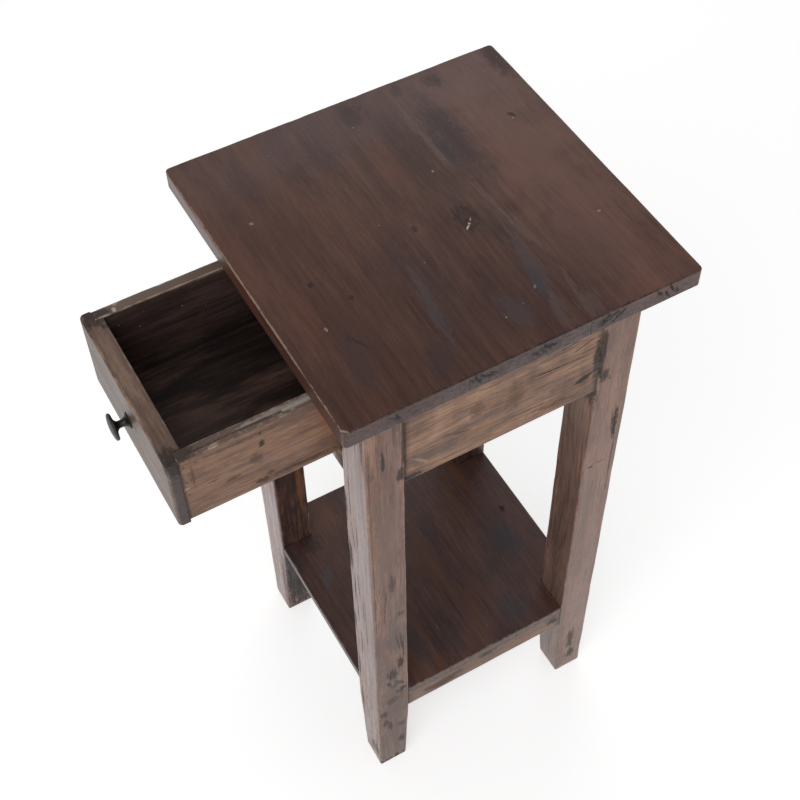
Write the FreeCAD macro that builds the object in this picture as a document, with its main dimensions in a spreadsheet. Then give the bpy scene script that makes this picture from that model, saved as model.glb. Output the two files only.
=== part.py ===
import FreeCAD, Part
import math
import os
import re
import Sketcher

# Telephone table: a small square side table on four legs, with one drawer under the top and a low shelf.
# Millimetres. The floor is z = 0, the table's middle is x = y = 0, and the drawer opens towards -Y.
DIMENSIONS = {
    # whole table and its top, three boards glued edge to edge with the grain along X
    "table_height": 750,
    "top_width": 348,
    "top_depth": 352,
    "top_thickness": 20.5,
    "top_overhang": 32,
    "top_front_board": 116,
    "top_back_board": 116,
    "top_corner_radius": 5,
    "top_upper_round": 3,
    "top_lower_round": 1.5,
    # legs: square posts whose two inner faces taper below the shelf
    "leg_width": 45,
    "leg_depth": 40,
    "leg_arris": 1.2,
    "foot_taper_x": 9.5,
    "foot_taper_y": 5.5,
    # aprons and rails, tenoned into the legs
    "rail_thickness": 20,
    "rail_setback": 0.5,
    "rail_arris": 1,
    "apron_height": 142,
    "top_rail_height": 30.5,
    "drawer_rail_height": 25,
    "shelf_rail_height": 28.5,
    "tenon_length": 22,
    "tenon_thickness": 8,
    "tenon_shoulder": 5,
    "mortise_gap": 0.15,
    "mortise_relief": 1,
    # shelf: three boards notched round the legs
    "shelf_height": 167.5,
    "shelf_thickness": 12,
    "shelf_setback": 1,
    "shelf_front_board": 94,
    "shelf_back_board": 103,
    "shelf_notch_gap": 0.4,
    "shelf_round": 1.5,
    # drawer, and how far it stands open
    "drawer_open": 159,
    "drawer_front_height": 90,
    "drawer_front_thickness": 19,
    "drawer_front_round": 3,
    "drawer_top_gap": 2,
    "drawer_rail_gap": 1,
    "drawer_end_gap": 1,
    "drawer_rabbet": 8,
    "drawer_side_thickness": 12,
    "drawer_side_inset": 1,
    "drawer_side_lift": 3,
    "drawer_side_round": 2.5,
    "drawer_back_thickness": 12,
    "drawer_back_drop": 5,
    "drawer_bottom_thickness": 6,
    "drawer_bottom_lift": 12,
    "groove_depth": 5,
    "groove_gap": 0.2,
    # what carries, guides and stops the drawer
    "runner_height": 20,
    "runner_gap": 0.3,
    "runner_ledge": 3,
    "guide_height": 20,
    "guide_gap": 1.5,
    "kicker_height": 18,
    "stop_depth": 4.7,
    "stop_height": 30,
    "stop_gap": 0.3,
    # turned iron knob and its screw
    "knob_diameter": 26,
    "knob_projection": 18,
    "knob_dome": 1.6,
    "knob_rim": 1.4,
    "knob_flare": 2.2,
    "knob_stem": 7,
    "knob_stem_round": 4.5,
    "knob_base": 16,
    "knob_base_edge": 1,
    "knob_base_height": 3.2,
    "knob_screw_diameter": 4,
    "knob_screw_bite": 9,
    "knob_screw_head": 8,
    "knob_screw_head_height": 2.5,
    # nails, pins and screws
    "top_nail_diameter": 3.6,
    "top_nail_sink": 3,
    "top_nail_bite": 25,
    "top_nail_inset": 6.5,
    "top_nail_margin": 26,
    "top_filler_diameter": 4.6,
    "pin_diameter": 2.4,
    "pin_bite": 14,
    "pin_margin": 11,
    "bottom_pin_margin": 23,
    "screw_diameter": 4,
    "screw_head": 8,
    "screw_head_height": 2.5,
    "screw_bite": 11,
    "screw_margin": 44,
    "hole_gap": 0.1,
}

# Places that several pieces share, worked out from the dimensions.
PLACES = {
    "top_under": "table_height - top_thickness",
    "top_seam_front": "top_front_board - top_depth / 2",
    "top_seam_back": "top_depth / 2 - top_back_board",
    "leg_face_x": "top_width / 2 - top_overhang",
    "leg_face_y": "top_depth / 2 - top_overhang",
    "leg_in_x": "leg_face_x - leg_width",
    "leg_in_y": "leg_face_y - leg_depth",
    "rail_face_x": "leg_face_x - rail_setback",
    "rail_face_y": "leg_face_y - rail_setback",
    "rail_middle_x": "rail_face_x - rail_thickness / 2",
    "rail_middle_y": "rail_face_y - rail_thickness / 2",
    "rail_in_x": "rail_face_x - rail_thickness",
    "rail_in_y": "rail_face_y - rail_thickness",
    "apron_bottom": "top_under - apron_height",
    "shelf_under": "shelf_height - shelf_thickness",
    "shelf_rail_bottom": "shelf_under - shelf_rail_height",
    "shelf_edge_y": "leg_face_y - shelf_setback",
    "shelf_seam_front": "shelf_front_board - shelf_edge_y",
    "shelf_seam_back": "shelf_edge_y - shelf_back_board",
    "top_rail_bottom": "top_under - top_rail_height",
    "drawer_top": "top_rail_bottom - drawer_top_gap",
    "front_bottom": "drawer_top - drawer_front_height",
    "drawer_rail_bottom": "front_bottom - drawer_rail_gap - drawer_rail_height",
    "front_end_x": "leg_in_x - drawer_end_gap",
    "shut_rear_y": "rail_in_y - stop_depth - stop_gap",
    "drawer_length": "shut_rear_y + rail_face_y",
    "front_face_y": "-rail_face_y - drawer_open",
    "front_in_y": "front_face_y + drawer_front_thickness",
    "front_lip": "drawer_front_thickness - drawer_rabbet",
    "side_out_x": "front_end_x - drawer_side_inset",
    "side_in_x": "side_out_x - drawer_side_thickness",
    "side_bottom": "front_bottom + drawer_side_lift",
    "side_height": "drawer_top - side_bottom",
    "side_front_y": "front_face_y + front_lip",
    "side_length": "drawer_length - front_lip",
    "drawer_rear_y": "front_face_y + drawer_length",
    "bottom_under": "side_bottom + drawer_bottom_lift",
    "bottom_upper": "bottom_under + drawer_bottom_thickness",
    "bottom_front_y": "front_in_y - groove_depth + groove_gap",
    "back_height": "drawer_top - drawer_back_drop - bottom_upper",
    "runner_top": "side_bottom - runner_gap",
    "runner_bottom": "runner_top - runner_height",
    "runner_middle": "(runner_bottom + runner_top) / 2",
    "runner_in_x": "side_in_x - runner_ledge",
    "knob_z": "front_bottom + drawer_front_height / 2",
    "top_nail_x": "rail_face_x - top_nail_inset",
    "top_nail_y": "rail_face_y - top_nail_inset",
    "top_nail_row_x": "leg_in_x - top_nail_margin",
    "bottom_pin_x": "side_in_x - bottom_pin_margin",
    "screw_y": "leg_in_y - screw_margin",
    "top_nail_hole": "top_nail_diameter + 2 * hole_gap",
    "top_filler_hole": "top_filler_diameter + 2 * hole_gap",
    "pin_hole": "pin_diameter + 2 * hole_gap",
    "screw_hole": "screw_diameter + 2 * hole_gap",
}

SIDES = ((-1, "left"), (1, "right"))
ENDS = ((-1, "front"), (1, "back"))
# Drawer pins, as shares of the height between the top and bottom pin.
FRONT_PIN_SHARES = (0.3, 0.62, 1)
BACK_PIN_SHARES = (0.35, 0.85)

doc = FreeCAD.newDocument("telephone_table")
sheet = doc.addObject("Spreadsheet::Sheet", "Dimensions")
subparts = []


def fill_sheet():
    """One row for each driving dimension: its name, and its value under that name."""
    for row, (name, size) in enumerate(DIMENSIONS.items(), 1):
        sheet.set(f"A{row}", name)
        sheet.set(f"B{row}", str(size))
        sheet.setAlias(f"B{row}", name)
    doc.recompute()


def formula(text):
    """The text as an expression: dimensions point at the sheet, and places are written out."""

    def written_out(match):
        word = match.group()
        if word in PLACES:
            return "(" + formula(PLACES[word]) + ")"
        if word in DIMENSIONS:
            return "Dimensions." + word
        return word

    return re.sub(r"[a-z_]+", written_out, text)


def half(size):
    """The two ends of a size laid evenly about zero."""
    return f"-({size}) / 2", f"({size}) / 2"


def towards(side, *distances):
    """Distances measured outwards on one side of the table, as signed coordinates."""
    return tuple(f"{side} * ({distance})" for distance in distances)


def bind_place(thing, place):
    """Tie an object's position to formulas for x, y and z."""
    for axis, value in zip("xyz", place):
        thing.setExpression(f"Placement.Base.{axis}", formula(value))


def new_body(label, x="0", y="0", z="0"):
    """An empty body with its own origin at a place on the table."""
    body = doc.addObject("PartDesign::Body", label)
    body.Label = label
    bind_place(body, (x, y, z))
    subparts.append(body)
    return body


def new_sketch(body, name, plane, height="0"):
    """A sketch on one of a body's origin planes, moved along that plane's normal."""
    sketch = body.newObject("Sketcher::SketchObject", name)
    support = [part for part in body.Origin.OriginFeatures if part.Role == plane][0]
    sketch.AttachmentSupport = [(support, "")]
    sketch.MapMode = "FlatFace"
    sketch.setExpression("AttachmentOffset.Base.z", formula(height))
    return sketch


def bind_point(sketch, piece, end, point):
    """Tie one point of a sketch's geometry to formulas for its two coordinates."""
    for direction, value in zip(("DistanceX", "DistanceY"), point):
        index = sketch.addConstraint(Sketcher.Constraint(direction, -1, 1, piece, end, 1.0))
        sketch.setExpression(f"Constraints[{index}]", formula(value))


def add_outline(sketch, corners):
    """A closed outline of straight lines, drawn as a regular figure and then tied to its corners."""
    count = len(corners)
    turns = [2 * math.pi * step / count for step in range(count + 1)]
    spots = [FreeCAD.Vector(math.cos(turn), math.sin(turn), 0) for turn in turns]
    for start, end in zip(spots, spots[1:]):
        sketch.addGeometry(Part.LineSegment(start, end))
    for line in range(count):
        sketch.addConstraint(Sketcher.Constraint("Coincident", line, 2, (line + 1) % count, 1))
    for line, corner in enumerate(corners):
        bind_point(sketch, line, 1, corner)


def add_circles(sketch, centres, diameter):
    """Equal circles about centres given as pairs of formulas."""
    for circle, centre in enumerate(centres):
        start = FreeCAD.Vector(circle, 0, 0)
        sketch.addGeometry(Part.Circle(start, FreeCAD.Vector(0, 0, 1), 1.0))
        bind_point(sketch, circle, 3, centre)
        index = sketch.addConstraint(Sketcher.Constraint("Diameter", circle, 2.0))
        sketch.setExpression(f"Constraints[{index}]", formula(diameter))


def extrude(body, kind, sketch, length):
    """Add material (Pad) or take it away (Pocket), evenly to both sides of a sketch."""
    feature = body.newObject("PartDesign::" + kind, sketch.Name + "_" + kind.lower())
    feature.Profile = sketch
    feature.SideType = "Symmetric"
    feature.setExpression("Length", formula(length))


def prism(body, name, kind, corners, low, high):
    """An upright prism over an outline, between two heights."""
    sketch = new_sketch(body, name, "XY_Plane", f"(({low}) + ({high})) / 2")
    add_outline(sketch, corners)
    extrude(body, kind, sketch, f"({high}) - ({low})")


def block(body, name, kind, x, y, z):
    """A rectangular block between pairs of formulas."""
    corners = [(x[0], y[0]), (x[1], y[0]), (x[1], y[1]), (x[0], y[1])]
    prism(body, name, kind, corners, *z)


def holes(body, name, plane, centres, diameter, middle, length):
    """Round holes square to a plane, reaching evenly to both sides of a height over it."""
    sketch = new_sketch(body, name, plane, middle)
    add_circles(sketch, centres, diameter)
    extrude(body, "Pocket", sketch, length)


def lies_on(edge, box, face):
    """True where an edge lies in one face of a box, named as in YMin or ZMax."""
    limit = getattr(box, face)
    letter = face[0].lower()
    return all(abs(getattr(vertex.Point, letter) - limit) < 1e-4 for vertex in edge.Vertexes)


def runs_along(edge, letter):
    """True where an edge is straight and parallel to an axis."""
    step = edge.Vertexes[-1].Point - edge.Vertexes[0].Point
    return step.Length > 1e-4 and abs(abs(getattr(step, letter)) - step.Length) < 1e-4


def ease(body, kind, size, chosen):
    """Round (Fillet) or bevel (Chamfer) those edges of a body so far that a rule chooses."""
    doc.recompute()
    base = body.Tip
    box = base.Shape.BoundBox
    names = [f"Edge{number}" for number, edge in enumerate(base.Shape.Edges, 1) if chosen(edge, box)]
    feature = body.newObject("PartDesign::" + kind, f"{base.Name}_{kind.lower()}")
    feature.Base = (base, names)
    feature.setExpression("Radius" if kind == "Fillet" else "Size", formula(size))


def new_rod(name, place, axis, diameter, length):
    """A plain round rod from a place along an axis."""
    rod = doc.addObject("Part::Cylinder", name)
    rod.Placement = FreeCAD.Placement(
        FreeCAD.Vector(), FreeCAD.Rotation(FreeCAD.Vector(0, 0, 1), FreeCAD.Vector(*axis))
    )
    rod.setExpression("Radius", formula(f"({diameter}) / 2"))
    rod.setExpression("Height", formula(length))
    bind_place(rod, place)
    return rod


def new_group(label, solids):
    """Like fasteners as one sub-part of separate solids."""
    group = doc.addObject("Part::Compound", label)
    group.Label = label
    group.Links = solids
    subparts.append(group)


def new_screw(name, place, axis, diameter, length, head, head_height):
    """A pan-head screw: its shank runs along the axis, and its head stands the other way."""
    shank = new_rod(name + "_shank", place, axis, diameter, length)
    back = [-step for step in axis]
    cap = new_rod(name + "_cap", place, back, head, head_height)
    screw = doc.addObject("Part::Fuse", name)
    screw.Base = shank
    screw.Tool = cap
    return screw


def top_nail_places():
    """Where the top is nailed to the front rail, the side aprons and the back apron."""
    across = ("-top_nail_row_x", "top_nail_row_x")
    front = [(x, "-top_nail_y") for x in across]
    back = [(x, "top_nail_y") for x in across]
    middle = [("-top_nail_x", "0"), ("top_nail_x", "0")]
    return {"front": front, "middle": middle, "back": back}


def make_top():
    """Three boards glued edge to edge; the outer corners and arrises are rounded, the seams are not."""
    boards = (
        ("front", "-top_depth / 2", "top_seam_front", ("YMax",)),
        ("middle", "top_seam_front", "top_seam_back", ("YMin", "YMax")),
        ("back", "top_seam_back", "top_depth / 2", ("YMin",)),
    )
    nails = top_nail_places()
    for name, front, back, seams in boards:
        centre = f"(({front}) + ({back})) / 2"
        body = new_body(f"top_board_{name}", y=centre, z="top_under")
        width = half(f"({back}) - ({front})")
        block(body, "board", "Pad", half("top_width"), width, ("0", "top_thickness"))

        def outside(edge, box):
            return not any(lies_on(edge, box, seam) for seam in seams)

        if name != "middle":
            ease(body, "Fillet", "top_corner_radius", lambda e, b: runs_along(e, "z") and outside(e, b))
        ease(body, "Fillet", "top_upper_round", lambda e, b: lies_on(e, b, "ZMax") and outside(e, b))
        ease(body, "Fillet", "top_lower_round", lambda e, b: lies_on(e, b, "ZMin") and outside(e, b))
        spots = [(x, f"{y} - ({centre})") for x, y in nails[name]]
        holes(body, "nail_holes", "XY_Plane", spots, "top_nail_hole", "0", "2 * top_thickness")
        sink = "2 * top_nail_sink"
        holes(body, "filler_holes", "XY_Plane", spots, "top_filler_hole", "top_thickness", sink)


def make_top_nails():
    """Nails punched under the surface of the top, and the filler that covers each one."""
    places = [place for row in top_nail_places().values() for place in row]
    length = "top_thickness - top_nail_sink + top_nail_bite"
    down = (0, 0, -1)
    nails = []
    fillers = []
    for number, (x, y) in enumerate(places, 1):
        head = (x, y, "table_height - top_nail_sink")
        nails.append(new_rod(f"top_nail_{number}", head, down, "top_nail_diameter", length))
        crown = (x, y, "table_height")
        fillers.append(new_rod(f"top_filler_{number}", crown, down, "top_filler_diameter", "top_nail_sink"))
    new_group("top_nails", nails)
    new_group("top_fillers", fillers)


def leg_section(taper_x, taper_y, inset):
    """A leg's cross-section with bevelled arrises, as distances outwards from its axis.

    The inner faces stand in by the tapers, and the whole outline by an inset.
    """
    out_x = f"leg_width / 2 - ({inset})"
    out_y = f"leg_depth / 2 - ({inset})"
    in_x = f"{taper_x} + ({inset}) - leg_width / 2"
    in_y = f"{taper_y} + ({inset}) - leg_depth / 2"
    return [
        (f"{in_x} + leg_arris", in_y),
        (f"{out_x} - leg_arris", in_y),
        (out_x, f"{in_y} + leg_arris"),
        (out_x, f"{out_y} - leg_arris"),
        (f"{out_x} - leg_arris", out_y),
        (f"{in_x} + leg_arris", out_y),
        (in_x, f"{out_y} - leg_arris"),
        (in_x, f"{in_y} + leg_arris"),
    ]


def cut_mortise(body, kind, run, side_x, side_y):
    """A blind mortise in a leg's inner face for one kind of rail, which runs along x or y."""
    cheek = "tenon_thickness / 2 + mortise_gap"
    low = f"{kind}_bottom + tenon_shoulder - mortise_gap"
    high = f"{kind}_bottom + {kind}_height - tenon_shoulder + mortise_gap"
    deep = "tenon_length + mortise_relief"
    if run == "y":
        line = "leg_width / 2 - rail_setback - rail_thickness / 2"
        x = towards(side_x, f"{line} - ({cheek})", f"{line} + ({cheek})")
        y = towards(side_y, "-leg_depth / 2", f"-leg_depth / 2 + {deep}")
    else:
        line = "leg_depth / 2 - rail_setback - rail_thickness / 2"
        x = towards(side_x, "-leg_width / 2", f"-leg_width / 2 + {deep}")
        y = towards(side_y, f"{line} - ({cheek})", f"{line} + ({cheek})")
    block(body, f"{kind}_mortise_{run}", "Pocket", x, y, (low, high))


def make_legs():
    """Four posts, lofted from the eased sole over the tapered foot and up to the top."""
    levels = (
        ("sole", "0", ("foot_taper_x", "foot_taper_y", "leg_arris")),
        ("foot", "leg_arris", ("foot_taper_x", "foot_taper_y", "0")),
        ("knee", "shelf_rail_bottom", ("0", "0", "0")),
        ("head", "top_under", ("0", "0", "0")),
    )
    for side_y, end in ENDS:
        for side_x, side in SIDES:
            x, = towards(side_x, "leg_face_x - leg_width / 2")
            y, = towards(side_y, "leg_face_y - leg_depth / 2")
            body = new_body(f"leg_{end}_{side}", x, y)
            sections = []
            for name, height, shape in levels:
                sketch = new_sketch(body, name, "XY_Plane", height)
                corners = leg_section(*shape)
                add_outline(sketch, [(f"{side_x} * ({u})", f"{side_y} * ({v})") for u, v in corners])
                sections.append(sketch)
            post = body.newObject("PartDesign::AdditiveLoft", "post")
            post.Profile = sections[0]
            post.Sections = sections[1:]
            post.Ruled = True
            cut_mortise(body, "apron", "y", side_x, side_y)
            cut_mortise(body, "shelf_rail", "y", side_x, side_y)
            for kind in ("apron",) if end == "back" else ("drawer_rail", "top_rail"):
                cut_mortise(body, kind, "x", side_x, side_y)


def new_rail(label, kind, run, x, y):
    """A rail or apron between two legs, with a shouldered tenon at each end and its lower arrises eased."""
    body = new_body(label, x, y, f"{kind}_bottom")
    height = f"{kind}_height"
    span = "2 * leg_in_x" if run == "x" else "2 * leg_in_y"
    long_span = f"{span} + 2 * tenon_length"
    tenon_z = ("tenon_shoulder", f"{height} - tenon_shoulder")
    board = [half(span), half("rail_thickness")]
    tenon = [half(long_span), half("tenon_thickness")]
    if run == "y":
        board.reverse()
        tenon.reverse()
    block(body, "board", "Pad", *board, ("0", height))
    ease(body, "Chamfer", "rail_arris", lambda e, b: lies_on(e, b, "ZMin") and runs_along(e, run))
    block(body, "tenons", "Pad", *tenon, tenon_z)
    return body


def bore_for_top_nails(body, spots, height):
    """Pilot holes for the top's nails in the upper edge of a rail."""
    holes(body, "nail_holes", "XY_Plane", spots, "top_nail_hole", height, "2 * top_nail_bite")


def make_aprons():
    """Side aprons, which also hold the runners' screws, and the back apron."""
    for side_x, side in SIDES:
        x, = towards(side_x, "rail_middle_x")
        body = new_rail(f"apron_{side}", "apron", "y", x, "0")
        nail_x, = towards(side_x, "top_nail_x - rail_middle_x")
        bore_for_top_nails(body, [(nail_x, "0")], "apron_height")
        inner, = towards(side_x, "-rail_thickness / 2")
        spots = [(y, "runner_middle - apron_bottom") for y in ("-screw_y", "screw_y")]
        holes(body, "screw_holes", "YZ_Plane", spots, "screw_hole", inner, "2 * screw_bite")
    body = new_rail("apron_back", "apron", "x", "0", "rail_middle_y")
    spots = [(x, "top_nail_y - rail_middle_y") for x in ("-top_nail_row_x", "top_nail_row_x")]
    bore_for_top_nails(body, spots, "apron_height")


def make_front_rails():
    """The rail over the drawer, which the top is nailed to, and the rail under the drawer."""
    body = new_rail("front_top_rail", "top_rail", "x", "0", "-rail_middle_y")
    spots = [(x, "rail_middle_y - top_nail_y") for x in ("-top_nail_row_x", "top_nail_row_x")]
    bore_for_top_nails(body, spots, "top_rail_height")
    new_rail("front_drawer_rail", "drawer_rail", "x", "0", "-rail_middle_y")


def make_shelf_rails():
    """The two rails that carry the shelf, one between the legs of each side."""
    for side_x, side in SIDES:
        x, = towards(side_x, "rail_middle_x")
        new_rail(f"shelf_rail_{side}", "shelf_rail", "y", x, "0")


def round_shelf_board(body, faces):
    """Round a shelf board's upper edges along its open faces."""
    def open_edge(edge, box):
        return lies_on(edge, box, "ZMax") and any(lies_on(edge, box, face) for face in faces)

    ease(body, "Fillet", "shelf_round", open_edge)


def make_shelf():
    """Three boards glued to the side rails; the front and back ones are notched round the legs."""
    notch_x = "leg_in_x - shelf_notch_gap"
    notch_y = "leg_depth - shelf_setback + shelf_notch_gap"
    for side_y, name in ENDS:
        y, = towards(side_y, "shelf_edge_y")
        body = new_body(f"shelf_board_{name}", y=y, z="shelf_under")
        width = f"shelf_{name}_board"
        right = [(notch_x, "0"), (notch_x, notch_y), ("rail_face_x", notch_y), ("rail_face_x", width)]
        left = [(f"-({u})", v) for u, v in reversed(right)]
        corners = [(u, f"{-side_y} * ({v})") for u, v in right + left]
        prism(body, "board", "Pad", corners, "0", "shelf_thickness")
        outer = "YMin" if side_y < 0 else "YMax"
        round_shelf_board(body, (outer, "XMin", "XMax"))
    body = new_body("shelf_board_middle", y="(shelf_seam_front + shelf_seam_back) / 2", z="shelf_under")
    width = half("shelf_seam_back - shelf_seam_front")
    block(body, "board", "Pad", half("2 * rail_face_x"), width, ("0", "shelf_thickness"))
    round_shelf_board(body, ("XMin", "XMax"))


def make_runners():
    """Runners notched between the legs that carry the drawer's sides, with a guide on each one."""
    for side_x, side in SIDES:
        x, = towards(side_x, "leg_in_x")
        body = new_body(f"drawer_runner_{side}", x, z="runner_bottom")
        inner = "runner_in_x - leg_in_x"
        outer = "rail_in_x - leg_in_x"
        back = [("0", "rail_in_y"), ("0", "leg_in_y"), (outer, "leg_in_y")]
        front = [(u, f"-({v})") for u, v in reversed(back)]
        plan = [(inner, "-rail_in_y"), (inner, "rail_in_y")] + back + front
        corners = [(f"{side_x} * ({u})", v) for u, v in plan]
        prism(body, "board", "Pad", corners, "0", "runner_height")
        spots = [(y, "runner_height / 2") for y in ("-screw_y", "screw_y")]
        holes(body, "screw_holes", "YZ_Plane", spots, "screw_hole", "0", "4 * leg_width")

        x, = towards(side_x, "(side_out_x + guide_gap + rail_in_x) / 2")
        body = new_body(f"drawer_guide_{side}", x, z="runner_top")
        width = half("rail_in_x - side_out_x - guide_gap")
        block(body, "batten", "Pad", width, half("2 * leg_in_y"), ("0", "guide_height"))


def make_kickers():
    """Kickers glued to the aprons over the drawer's sides, which keep the open drawer from tipping."""
    for side_x, side in SIDES:
        x, = towards(side_x, "(side_in_x + rail_in_x) / 2")
        body = new_body(f"drawer_kicker_{side}", x, z="top_rail_bottom")
        width = half("rail_in_x - side_in_x")
        block(body, "batten", "Pad", width, half("2 * leg_in_y"), ("0", "kicker_height"))


def make_runner_screws():
    """Screws through the runners into the side aprons."""
    length = "rail_in_x - runner_in_x + screw_bite"
    sizes = ("screw_diameter", length, "screw_head", "screw_head_height")
    screws = []
    for side_x, _ in SIDES:
        x, = towards(side_x, "runner_in_x")
        for y in ("-screw_y", "screw_y"):
            name = f"runner_screw_{len(screws) + 1}"
            screws.append(new_screw(name, (x, y, "runner_middle"), (side_x, 0, 0), *sizes))
    new_group("runner_screws", screws)


def make_stops():
    """Blocks on the back apron that stop the closing drawer with its front flush."""
    for side_x, side in SIDES:
        x, = towards(side_x, "(side_in_x + side_out_x) / 2")
        body = new_body(f"drawer_stop_{side}", x, "rail_in_y - stop_depth / 2", "runner_top")
        block(body, "block", "Pad", half("drawer_side_thickness"), half("stop_depth"), ("0", "stop_height"))


def pin_heights(shares, low, high):
    """Heights of a row of pins, as shares of the way from low to high."""
    return [f"({low}) + (({high}) - ({low})) * {share}" for share in shares]


def front_pin_heights():
    """Heights of the pins that hold each drawer side to the front."""
    return pin_heights(FRONT_PIN_SHARES, "bottom_upper", "drawer_top - pin_margin")


def back_pin_heights():
    """Heights of the pins that hold each drawer side to the back."""
    return pin_heights(BACK_PIN_SHARES, "bottom_upper", "bottom_upper + back_height")


def groove_heights(base):
    """Lower and upper face of the groove for the drawer's bottom, over a piece's own base."""
    return f"bottom_under - ({base})", f"bottom_upper + groove_gap - ({base})"


def make_drawer_front():
    """The thick front, rabbeted at both ends for the sides and grooved for the bottom."""
    body = new_body("drawer_front", y="front_face_y", z="front_bottom")
    height = ("0", "drawer_front_height")
    block(body, "board", "Pad", half("2 * front_end_x"), ("0", "drawer_front_thickness"), height)
    ease(body, "Fillet", "drawer_front_round", lambda e, b: lies_on(e, b, "YMin"))
    pin_y = "drawer_front_thickness - drawer_rabbet / 2"
    spots = [(pin_y, f"{z} - front_bottom") for z in front_pin_heights()]
    for side_x, side in SIDES:
        rabbet_x = towards(side_x, "side_in_x", "front_end_x")
        block(body, f"rabbet_{side}", "Pocket", rabbet_x, ("front_lip", "drawer_front_thickness"), height)
        end, = towards(side_x, "side_in_x")
        holes(body, f"pin_holes_{side}", "YZ_Plane", spots, "pin_hole", end, "2 * pin_bite")
    groove_y = ("drawer_front_thickness - groove_depth", "drawer_front_thickness")
    block(body, "groove", "Pocket", half("2 * side_in_x"), groove_y, groove_heights("front_bottom"))
    bore = "knob_screw_diameter + 2 * hole_gap"
    centre = [("0", "drawer_front_height / 2")]
    holes(body, "knob_hole", "XZ_Plane", centre, bore, "0", "2 * drawer_front_thickness")


def make_drawer_sides():
    """The sides, set into the front's rabbets, with the outer upper arris rounded and a groove inside."""
    rear_y = "side_length - drawer_back_thickness / 2"
    for side_x, side in SIDES:
        x, = towards(side_x, "(side_in_x + side_out_x) / 2")
        body = new_body(f"drawer_side_{side}", x, "side_front_y", "side_bottom")
        length = ("0", "side_length")
        block(body, "board", "Pad", half("drawer_side_thickness"), length, ("0", "side_height"))
        outer = "XMin" if side_x < 0 else "XMax"
        arris = ("ZMax", outer)
        ease(body, "Fillet", "drawer_side_round", lambda e, b: all(lies_on(e, b, face) for face in arris))
        inner = "-drawer_side_thickness / 2"
        groove_x = towards(side_x, inner, f"{inner} + groove_depth")
        block(body, "groove", "Pocket", groove_x, length, groove_heights("side_bottom"))
        spots = [("drawer_rabbet / 2", f"{z} - side_bottom") for z in front_pin_heights()]
        spots += [(rear_y, f"{z} - side_bottom") for z in back_pin_heights()]
        holes(body, "pin_holes", "YZ_Plane", spots, "pin_hole", "0", "2 * drawer_side_thickness")


def bottom_pin_lines():
    """The x of each pin that holds the drawer's bottom up to its back."""
    return "-bottom_pin_x", "0", "bottom_pin_x"


def make_drawer_back():
    """The back, pinned between the sides over the bottom and a little lower than they are."""
    body = new_body("drawer_back", y="drawer_rear_y - drawer_back_thickness", z="bottom_upper")
    depth = ("0", "drawer_back_thickness")
    block(body, "board", "Pad", half("2 * side_in_x"), depth, ("0", "back_height"))
    middle = "drawer_back_thickness / 2"
    spots = [(middle, f"{z} - bottom_upper") for z in back_pin_heights()]
    for side_x, side in SIDES:
        end, = towards(side_x, "side_in_x")
        holes(body, f"pin_holes_{side}", "YZ_Plane", spots, "pin_hole", end, "2 * pin_bite")
    spots = [(x, middle) for x in bottom_pin_lines()]
    holes(body, "bottom_pin_holes", "XY_Plane", spots, "pin_hole", "0", "2 * pin_bite")


def make_drawer_bottom():
    """The bottom panel, slid along the side grooves into the front and pinned up to the back."""
    body = new_body("drawer_bottom", y="bottom_front_y", z="bottom_under")
    width = half("2 * (side_in_x + groove_depth - groove_gap)")
    length = "drawer_rear_y - bottom_front_y"
    block(body, "panel", "Pad", width, ("0", length), ("0", "drawer_bottom_thickness"))
    spots = [(x, f"{length} - drawer_back_thickness / 2") for x in bottom_pin_lines()]
    holes(body, "pin_holes", "XY_Plane", spots, "pin_hole", "0", "2 * drawer_bottom_thickness")


def make_drawer_pins():
    """Pins through the drawer's sides into its front and back, and through its bottom into its back."""
    through_side = "drawer_side_thickness + pin_bite"
    rows = (
        ("drawer_front_pins", "side_front_y + drawer_rabbet / 2", front_pin_heights()),
        ("drawer_back_pins", "drawer_rear_y - drawer_back_thickness / 2", back_pin_heights()),
    )
    for label, y, heights in rows:
        pins = []
        for side_x, _ in SIDES:
            x, = towards(side_x, "side_out_x")
            for z in heights:
                name = f"{label}_{len(pins) + 1}"
                pins.append(new_rod(name, (x, y, z), (-side_x, 0, 0), "pin_diameter", through_side))
        new_group(label, pins)
    y = rows[1][1]
    through_bottom = "drawer_bottom_thickness + pin_bite"
    pins = []
    for x in bottom_pin_lines():
        name = f"drawer_bottom_pins_{len(pins) + 1}"
        pins.append(new_rod(name, (x, y, "bottom_under"), (0, 0, 1), "pin_diameter", through_bottom))
    new_group("drawer_bottom_pins", pins)


def make_knob():
    """A mushroom knob turned about its own axis: a low conical base, a stem and a thin domed cap."""
    body = new_body("drawer_knob", y="front_face_y", z="knob_z")
    bore = "knob_screw_diameter / 2 + hole_gap"
    stem = "knob_stem / 2"
    cap = "knob_diameter / 2"
    rim_back = "knob_projection - knob_dome - knob_rim"
    profile = [
        (bore, "0"),
        ("knob_base / 2", "0"),
        ("knob_base / 2", "knob_base_edge"),
        (stem, "knob_base_height"),
        (stem, f"{rim_back} - knob_flare"),
        (cap, rim_back),
        (cap, "knob_projection - knob_dome"),
        ("0", "knob_projection"),
        ("0", "knob_screw_bite + hole_gap"),
        (bore, "knob_screw_bite + hole_gap"),
    ]
    sketch = new_sketch(body, "profile", "XY_Plane")
    add_outline(sketch, [(radius, f"-({reach})") for radius, reach in profile])
    turned = body.newObject("PartDesign::Revolution", "turned")
    turned.Profile = sketch
    turned.ReferenceAxis = (sketch, ["V_Axis"])
    turned.Angle = 360

    waist = sheet.knob_projection - sheet.knob_dome - sheet.knob_rim - sheet.knob_flare

    def under_cap(edge, box):
        return all(abs(vertex.Point.y + waist) < 1e-4 for vertex in edge.Vertexes)

    ease(body, "Fillet", "knob_stem_round", under_cap)


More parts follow.
